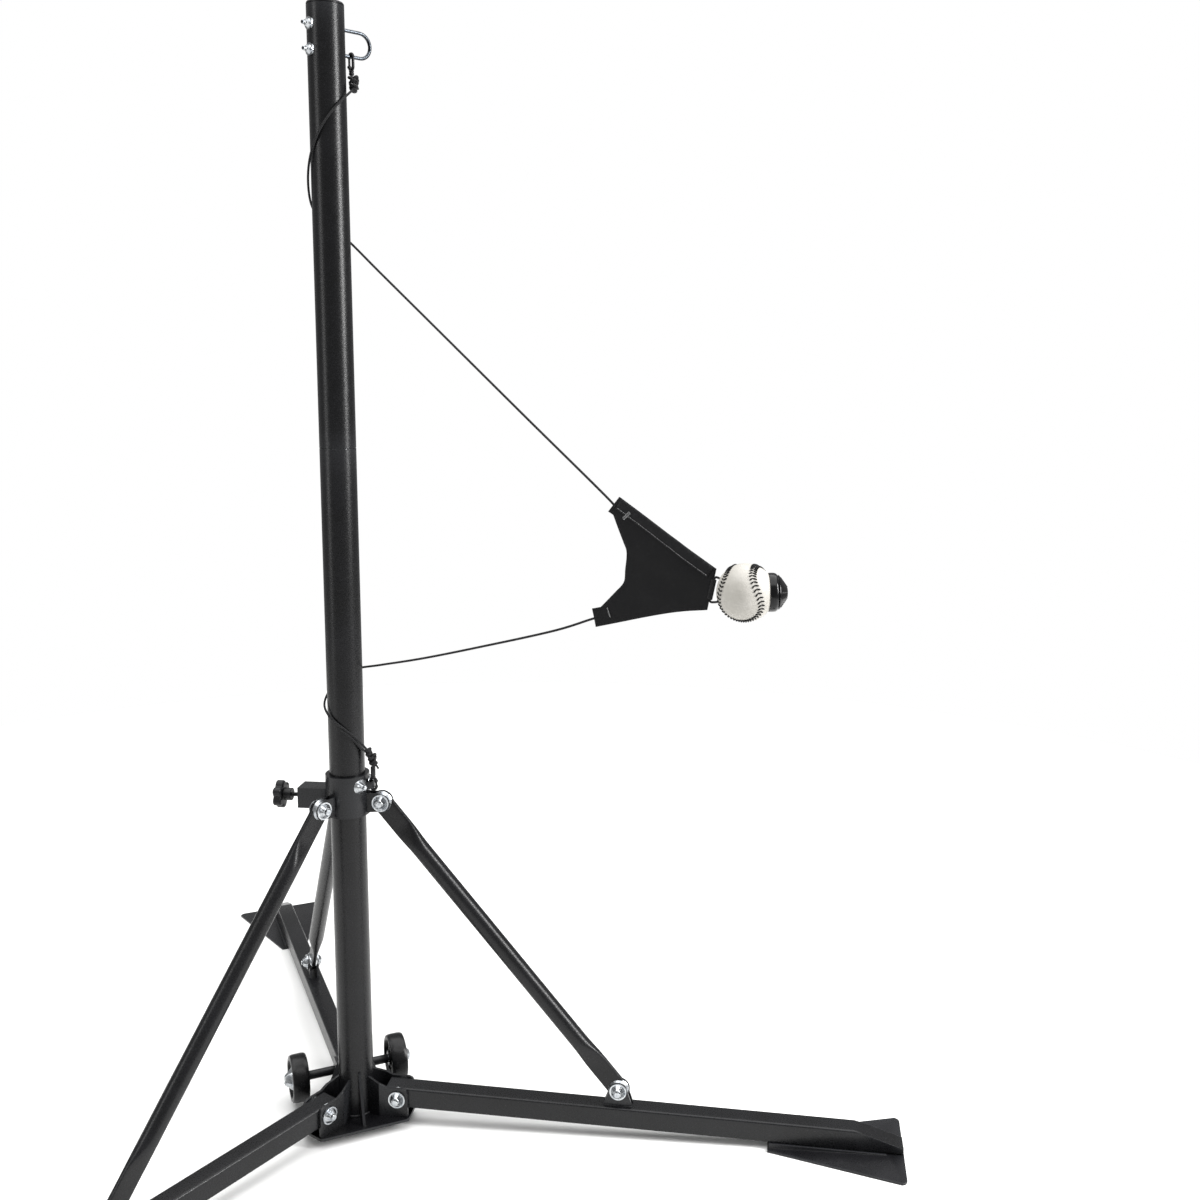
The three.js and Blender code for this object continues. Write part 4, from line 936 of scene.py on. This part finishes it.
# ---- axle and wheels ----------------------------------------------------------------------------------
axle_place = ray(LEG_AZ[2]) @ Matrix.Translation((LEG_PIVOT[0], 0, LEG_PIVOT[1])) @ Matrix.Rotation(rad(-90), 4, "X")
bm = bmesh.new()
revolved(bm, [(0, -0.0948), (0.0042, -0.0948), (0.005, -0.094), (0.005, 0.094), (0.0042, 0.0948), (0, 0.0948)],
         36, axle_place)
piece("axle_rod", bm, ZINC, "stand", ("axle",), smooth=40)
for number, side in ((1, 1), (2, -1)):
    hub = axle_place @ Matrix.Translation((0, 0, side * WHEEL_MID)) @ Matrix.Scale(side, 4, Vector((0, 0, 1)))
    bm = bmesh.new()
    tread = [(0.0051, -0.0124), (0.0098, -0.0124), (0.0108, -0.0116), (0.0112, -0.0060), (0.0150, -0.0052),
             (0.0225, -0.0052), (0.0262, -0.0060), (0.0272, -0.0108), (0.0284, -0.0122), (0.0318, -0.0124),
             (0.0336, -0.0114), (0.0346, -0.0088), (0.0350, -0.0055), (0.0350, 0.0055), (0.0346, 0.0088),
             (0.0336, 0.0114), (0.0318, 0.0124), (0.0284, 0.0122), (0.0272, 0.0108), (0.0262, 0.0060),
             (0.0225, 0.0052), (0.0150, 0.0052), (0.0112, 0.0060), (0.0108, 0.0116), (0.0098, 0.0124),
             (0.0051, 0.0124)]
    revolved(bm, tread, 96, hub, loop=True)
    for k in range(6):
        rib = hub @ Matrix.Rotation(2 * math.pi * k / 6, 4, "Z")
        for face in (-1, 1):
            low, high = sorted((face * 0.0050, face * 0.0092))
            slab(bm, [(0.0105, -0.0012), (0.0268, -0.0012), (0.0268, 0.0012), (0.0105, 0.0012)], low, high, rib)
    bmesh.ops.recalc_face_normals(bm, faces=bm.faces)
    piece(f"wheel_disc_{number}", bm, TYRE, "wheel_left" if side > 0 else "wheel_right",
          (f"wheel_{number}",), smooth=38)
    bm = bmesh.new()
    revolved(bm, [(0.0054, side * 0.0200), (0.0063, side * 0.0200), (0.0065, side * 0.0204),
                  (0.0065, side * 0.0612), (0.0063, side * 0.0616), (0.0054, side * 0.0616)], 36, axle_place,
             loop=True)
    piece(f"spacer_tube_{number}", bm, COAT, "stand", (f"axle_spacer_{number}",), smooth=40)
    end = axle_place @ Vector((0, 0, side * 0.087))
    bolt_set(f"axle_end_nut_{number}", "stand", [(end, axle_place.to_3x3() @ Vector((0, 0, side)))], 0.0062,
             0.0082, 0.0, (f"axle_nut_{number}",), flats=0.015, washer=0.020, thick=0.0015, shank=0.0095)


# ---- sling --------------------------------------------------------------------------------------------
def polyline(points, step):
    """Straight runs between (s, z) points, split into short steps."""
    out = []
    for (x0, z0), (x1, z1) in zip(points, points[1:]):
        parts = max(1, round(math.hypot(x1 - x0, z1 - z0) / step))
        out += [(x0 + (x1 - x0) * i / parts, z0 + (z1 - z0) * i / parts) for i in range(parts)]
    return out + [points[-1]]


def flowing(points, step):
    """Smooth run through (s, z) points."""
    return [(p.x, p.z) for p in smooth_route([Vector((x, 0, z)) for x, z in points], step)]


SLING_TOP = [(0.4339, 0.9572), (0.5706, 0.8730)]
SLING_HEM = [(0.5706, 0.8730), (0.5586, 0.8198)]
SLING_FOOT = [(0.5586, 0.8198), (0.5154, 0.8135), (0.3984, 0.7831)]
SLING_LOW_TAB = [(0.3984, 0.7831), (0.3932, 0.8074), (0.4061, 0.8106)]
SLING_BACK = [(0.4061, 0.8106), (0.4170, 0.8215), (0.4290, 0.8335), (0.4380, 0.8426), (0.4415, 0.8490),
              (0.4428, 0.8640), (0.4446, 0.8800), (0.4443, 0.8885), (0.4400, 0.8985), (0.4325, 0.9160),
              (0.4251, 0.9333)]
SLING_TOP_TAB = [(0.4251, 0.9333), (0.4177, 0.9375), (0.4339, 0.9572)]
outline = []
for run in (polyline(SLING_TOP, 0.004), polyline(SLING_HEM, 0.004), flowing(SLING_FOOT, 0.004),
            polyline(SLING_LOW_TAB, 0.004), flowing(SLING_BACK, 0.004), polyline(SLING_TOP_TAB, 0.004)):
    outline += run[:-1]


def sling_side(s, z):
    """How far the cloth stands out of its plane: pulled flat between the cords and the ball, slack between."""
    slack = math.sin(math.pi * min(max((s - 0.44) / 0.13, 0), 1)) * math.sin(
        math.pi * min(max((z - 0.80) / 0.13, 0), 1))
    crease = 0.0012 * math.sin((z - 0.84 + (s - 0.5) * 0.35) * 120) * slack
    return -0.004 * slack + crease + 0.0007 * noise.noise(Vector((s * 40, z * 40, 3.1)))


def cloth_face(bm, edge, lift, uv, step=0.0045):
    """The flat cut inside an edge line, divided into small cells and laid on the sling's surface."""
    flat = bmesh.new()
    face = flat.faces.new([flat.verts.new((s, 0, z)) for s, z in edge])
    face.normal_update()
    low = [min(p[i] for p in edge) for i in (0, 1)]
    high = [max(p[i] for p in edge) for i in (0, 1)]
    for axis, way in ((0, Vector((1, 0, 0))), (1, Vector((0, 0, 1)))):
        value = low[axis] + step * 0.5
        while value < high[axis]:
            bmesh.ops.bisect_plane(flat, geom=flat.verts[:] + flat.edges[:] + flat.faces[:], dist=1e-6,
                                   plane_co=way * value, plane_no=way)
            value += step
    bmesh.ops.triangulate(flat, faces=[f for f in flat.faces if len(f.verts) > 4])
    bmesh.ops.remove_doubles(flat, verts=flat.verts, dist=2e-4)
    flat.verts.ensure_lookup_table()
    new = [bm.verts.new(tether_point(v.co.x, v.co.z, sling_side(v.co.x, v.co.z) + lift)) for v in flat.verts]
    for f in flat.faces:
        made = bm.faces.new([new[v.index] for v in f.verts])
        made.smooth = True
        for loop, v in zip(made.loops, f.verts):
            loop[uv].uv = (v.co.x, v.co.z)
    flat.free()


def thickened(obj, thickness):
    solid = obj.modifiers.new("cloth_thickness", "SOLIDIFY")
    solid.thickness = thickness
    solid.offset = 0.0
    return obj


bm = bmesh.new()
uv = bm.loops.layers.uv.new("cut")
cloth_face(bm, outline, 0.0, uv)
sling = thickened(piece("sling_cloth", bm, CLOTH, "tether", ("sling",), smooth=50), 0.0016)


def band(line, width):
    """Closed outline of a strip that runs beside a line, inside the sling."""
    inner = []
    for i, (s, z) in enumerate(line):
        before, after = line[max(i - 1, 0)], line[min(i + 1, len(line) - 1)]
        ds, dz = after[0] - before[0], after[1] - before[1]
        size = math.hypot(ds, dz) or 1
        inner.append((s + dz / size * width, z - ds / size * width))
    return line + inner[::-1]


def inset(line, by):
    return band(line, by)[len(line):][::-1]


HEM_WIDTH = 0.0150
hem_lines = {"top": inset(polyline(SLING_TOP, 0.004), 0.0006)[1:-1]}
stitch_places = []
for label, line in hem_lines.items():
    width = HEM_WIDTH
    bm = bmesh.new()
    uv = bm.loops.layers.uv.new("cut")
    for lift in (0.0014, -0.0014):
        cloth_face(bm, band(line, width), lift, uv, 0.006)
    strip = thickened(piece(f"sling_hem_{label}", bm, HEM, "tether", smooth=50), 0.0010)
    seam = inset(line, width - 0.0022)
    fine = []
    for (s0, z0), (s1, z1) in zip(seam, seam[1:]):
        fine += [(s0 + (s1 - s0) * i / 4, z0 + (z1 - z0) * i / 4) for i in range(4)]
    walked, pitch = 0.0, 0.0032
    for (s0, z0), (s1, z1) in zip(fine, fine[1:]):
        walked += math.hypot(s1 - s0, z1 - z0)
        if walked >= pitch:
            walked -= pitch
            for lift in (0.0020, -0.0020):
                here = tether_point(s0, z0, sling_side(s0, z0) + lift)
                there = tether_point(s1, z1, sling_side(s1, z1) + lift)
                stitch_places.append((here, (there - here).normalized()))


def bartack(start, end, rows):
    """Dense zigzag of thread across a tab."""
    places = []
    count = 14
    along = Vector((end[0] - start[0], end[1] - start[1])) / count
    across = Vector((-along.y, along.x)).normalized()
    for i in range(count):
        for row in range(rows):
            s = start[0] + along.x * (i + 0.5) + across.x * (row - (rows - 1) / 2) * 0.0022
            z = start[1] + along.y * (i + 0.5) + across.y * (row - (rows - 1) / 2) * 0.0022
            lean = 0.5 if (i + row) % 2 else -0.5
            way = tether_point(s + across.x + along.x / along.length * lean, z + across.y + along.y / along.length
                               * lean) - tether_point(s, z)
            for lift in (0.0022, -0.0022):
                places.append((tether_point(s, z, sling_side(s, z) + lift), way.normalized()))
    return places


tack_places = bartack((0.4501, 0.9380), (0.4406, 0.9290), 2) + bartack((0.4166, 0.8110), (0.4208, 0.7985), 1)
sling_stitches = laid_out("sling_stitches", STITCHES, stitch_places, {
    "Length": 0.0026, "Thread diameter": 0.0006, "Finish": SEAM_THREAD}, "tether", smooth=60)
sling_tacks = laid_out("sling_bartacks", STITCHES, tack_places, {
    "Length": 0.0024, "Thread diameter": 0.0006, "Finish": SEAM_THREAD}, "tether", smooth=60)

# Rolled hem round the ball's loop: a tube of cloth, closed at both ends.
hem_a, hem_b = Vector((0.5586, 0, 0.8198)), Vector((0.5706, 0, 0.8730))
hem_way = (hem_b - hem_a).normalized()
hem_mid = (hem_a + hem_b) / 2
bm = bmesh.new()
uv = bm.loops.layers.uv.new("cut")
for radius in (0.0034, 0.0022):
    tube = [hem_mid + hem_way * t for t in (-0.013, -0.0125, -0.006, 0, 0.006, 0.0125, 0.013)]
    tube = [tether_point(p.x, p.z) for p in tube]
    swept(bm, tube, disc(radius, 24), uv=uv)
    if radius > 0.003:
        break
sling_roll = piece("sling_rolled_hem", bm, HEM, "tether", smooth=60)

# ---- ball, its loop and its stopper -------------------------------------------------------------------
HEM_HALF = 0.013


def on_hem(t):
    point = hem_mid + hem_way * t
    return point.x, point.z


def ball_edge(z):
    return BALL_S - math.sqrt(BALL_R ** 2 - (z - BALL_Z) ** 2) - 0.0012


high, low = on_hem(HEM_HALF + 0.0032), on_hem(-HEM_HALF - 0.0032)
loop_points = [(ball_edge(high[1] - 0.001), high[1] - 0.001), (high[0] + 0.0022, high[1] + 0.0002),
               on_hem(HEM_HALF + 0.001), on_hem(HEM_HALF - 0.004), on_hem(0), on_hem(-HEM_HALF + 0.004),
               on_hem(-HEM_HALF - 0.001), (low[0] + 0.0022, low[1] - 0.0002),
               (ball_edge(low[1] + 0.001), low[1] + 0.001)]
ball_loop, loop_path = cord_piece("ball_loop_cord", [tether_point(s, z) for s, z in loop_points], "ball_loop",
                                  "tether", radius=0.0015, step=0.0012, sides=12)

# The ball's own frame: X away from the pole along the sling's plane.
ball_place = Matrix.Translation(tether_point(BALL_S, BALL_Z)) @ ray(TETHER_AZ)
SEAM_TURN = (Matrix.Rotation(rad(103.45), 3, "Z") @ Matrix.Rotation(rad(175.97), 3, "X")
             @ Matrix.Rotation(rad(9.19), 3, "Z"))


def seam_point(t, shape=0.44):
    """The two-lobed curve that joins a ball's two covers."""
    lean = math.pi / 2 - (math.pi / 2 - shape) * math.cos(t)
    turn = t / 2 + shape * math.sin(2 * t)
    return SEAM_TURN @ Vector((math.sin(lean) * math.cos(turn), math.sin(lean) * math.sin(turn), math.cos(lean)))


seam = [seam_point(4 * math.pi * i / 1200) for i in range(1200)]
near_seam = kdtree.KDTree(len(seam))
for i, point in enumerate(seam):
    near_seam.insert(point * BALL_R, i)
near_seam.balance()
bm = bmesh.new()
bmesh.ops.create_icosphere(bm, subdivisions=6, radius=BALL_R)
for vert in bm.verts:
    away = near_seam.find(vert.co)[2]
    groove = -0.0003 * math.exp(-(away / 0.0005) ** 2) + 0.0001 * math.exp(-((away - 0.0022) / 0.0012) ** 2)
    puckers = 0.00012 * noise.noise(vert.co * 220)
    vert.co = ball_place @ (vert.co * (1 + (groove + puckers - 0.0003) / BALL_R))
piece("ball_cover", bm, HIDE, "ball_unit", ("ball",), smooth=80)

seam_stitches = []
spacing = 12
for i in range(0, 1200, spacing):
    here, ahead = seam[i], seam[(i + 6) % 1200]
    along = (ahead - here).normalized()
    across = here.cross(along).normalized()
    for side in (-1, 1):
        centre = here * (BALL_R + 0.0001) + across * side * 0.0025
        way = along * 0.5 + across * side * 1.0
        centre = centre.normalized() * (BALL_R + 0.00015)
        seam_stitches.append((ball_place @ centre, ball_place.to_3x3() @ way.normalized()))
laid_out("ball_stitches", STITCHES, seam_stitches, {
    "Length": 0.0056, "Thread diameter": 0.0021, "Finish": BALL_THREAD}, "ball_unit", smooth=60)

stopper_place = (Matrix.Translation(tether_point(BALL_S, BALL_Z)) @ ray(STOPPER_AZ)
                 @ Matrix.Rotation(rad(90), 4, "Y"))
seat, rim = BALL_R + 0.0003, 0.0232
profile = [(0, seat)]
for i in range(1, 9):
    angle = math.asin(rim / seat) * i / 8
    profile.append((seat * math.sin(angle), seat * math.cos(angle)))
profile += [(0.0240, 0.0288), (0.0243, 0.0296), (0.0244, 0.0312), (0.0244, 0.0345), (0.0240, 0.0366),
            (0.0231, 0.0383), (0.0219, 0.0393), (0.0212, 0.0397), (0.0210, 0.0401), (0.0213, 0.0406),
            (0.0217, 0.0409), (0.0214, 0.0415), (0.0196, 0.0432), (0.0154, 0.0463), (0.0108, 0.0496),
            (0.0080, 0.0513), (0.0062, 0.0521), (0, 0.0523)]
bm = bmesh.new()
revolved(bm, profile, 72, stopper_place)
for k in range(6):  # low ribs down the cone
    line = ray(60 * k + 20)
    run = [line @ Vector((0.0078 + 0.0128 * i / 10, 0, 0.0515 - 0.0092 * i / 10)) for i in range(11)]
    swept(bm, [stopper_place @ p for p in run], disc(0.0012, 10), scale=[(0.5 + 0.05 * i,) * 2 for i in range(11)])
piece("stopper_cap", bm, GLOSS, "ball_unit", ("ball_stopper",), smooth=50)

# ---- cords baked into world space ---------------------------------------------------------------------
for cord, start, end in ((upper_cord, 1.520, 1.312), (lower_cord, 0.550, 0.678)):
    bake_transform(cord)

# ---- remaining CAD pieces keep their shape ------------------------------------------------------------
inner_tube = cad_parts["pole_spigot"]
inner_tube.data.materials.clear()
inner_tube.data.materials.append(ZINC)

# ---- floor and light ----------------------------------------------------------------------------------
bm = bmesh.new()
bmesh.ops.create_circle(bm, cap_ends=True, segments=64, radius=2.6)
floor_mesh = bpy.data.meshes.new("studio_floor")
bm.to_mesh(floor_mesh)
bm.free()
floor_mesh.materials.append(painted_floor("studio_floor_paint"))
floor = bpy.data.objects.new("studio_floor", floor_mesh)
scene.collection.objects.link(floor)

world = bpy.data.worlds.new("studio_world")
scene.world = world
world.use_nodes = True
sky = world.node_tree
dim = sky.nodes["Background"]
dim.inputs["Color"].default_value = linear("FFFFFF")
dim.inputs["Strength"].default_value = 0.34
bright = put(sky, "ShaderNodeBackground", {"Color": linear("FFFFFF"), "Strength": 1.0})
seen = put(sky, "ShaderNodeLightPath").outputs["Is Camera Ray"]
blend = put(sky, "ShaderNodeMixShader", {0: seen, 1: dim.outputs[0], 2: bright.outputs[0]})
sky.links.new(blend.outputs[0], sky.nodes["World Output"].inputs["Surface"])


def soft_light(name, place, aim, width, height, power):
    data = bpy.data.lights.new(name, "AREA")
    data.shape = "RECTANGLE"
    data.size = width
    data.size_y = height
    data.energy = power
    light = bpy.data.objects.new(name, data)
    light.location = place
    light.rotation_euler = (Vector(aim) - Vector(place)).to_track_quat("-Z", "Y").to_euler()
    scene.collection.objects.link(light)


soft_light("key_right", (3.0, -0.75, 1.8), (0, 0, 1.25), 0.42, 1.9, 115)
soft_light("fill_left", (-2.4, -1.6, 1.5), (0, 0, 0.9), 0.45, 2.6, 24)
soft_light("top_soft", (0.3, 0.2, 4.2), (0.3, 0.2, 0), 6.0, 6.0, 330)

scene.view_settings.view_transform = "Standard"
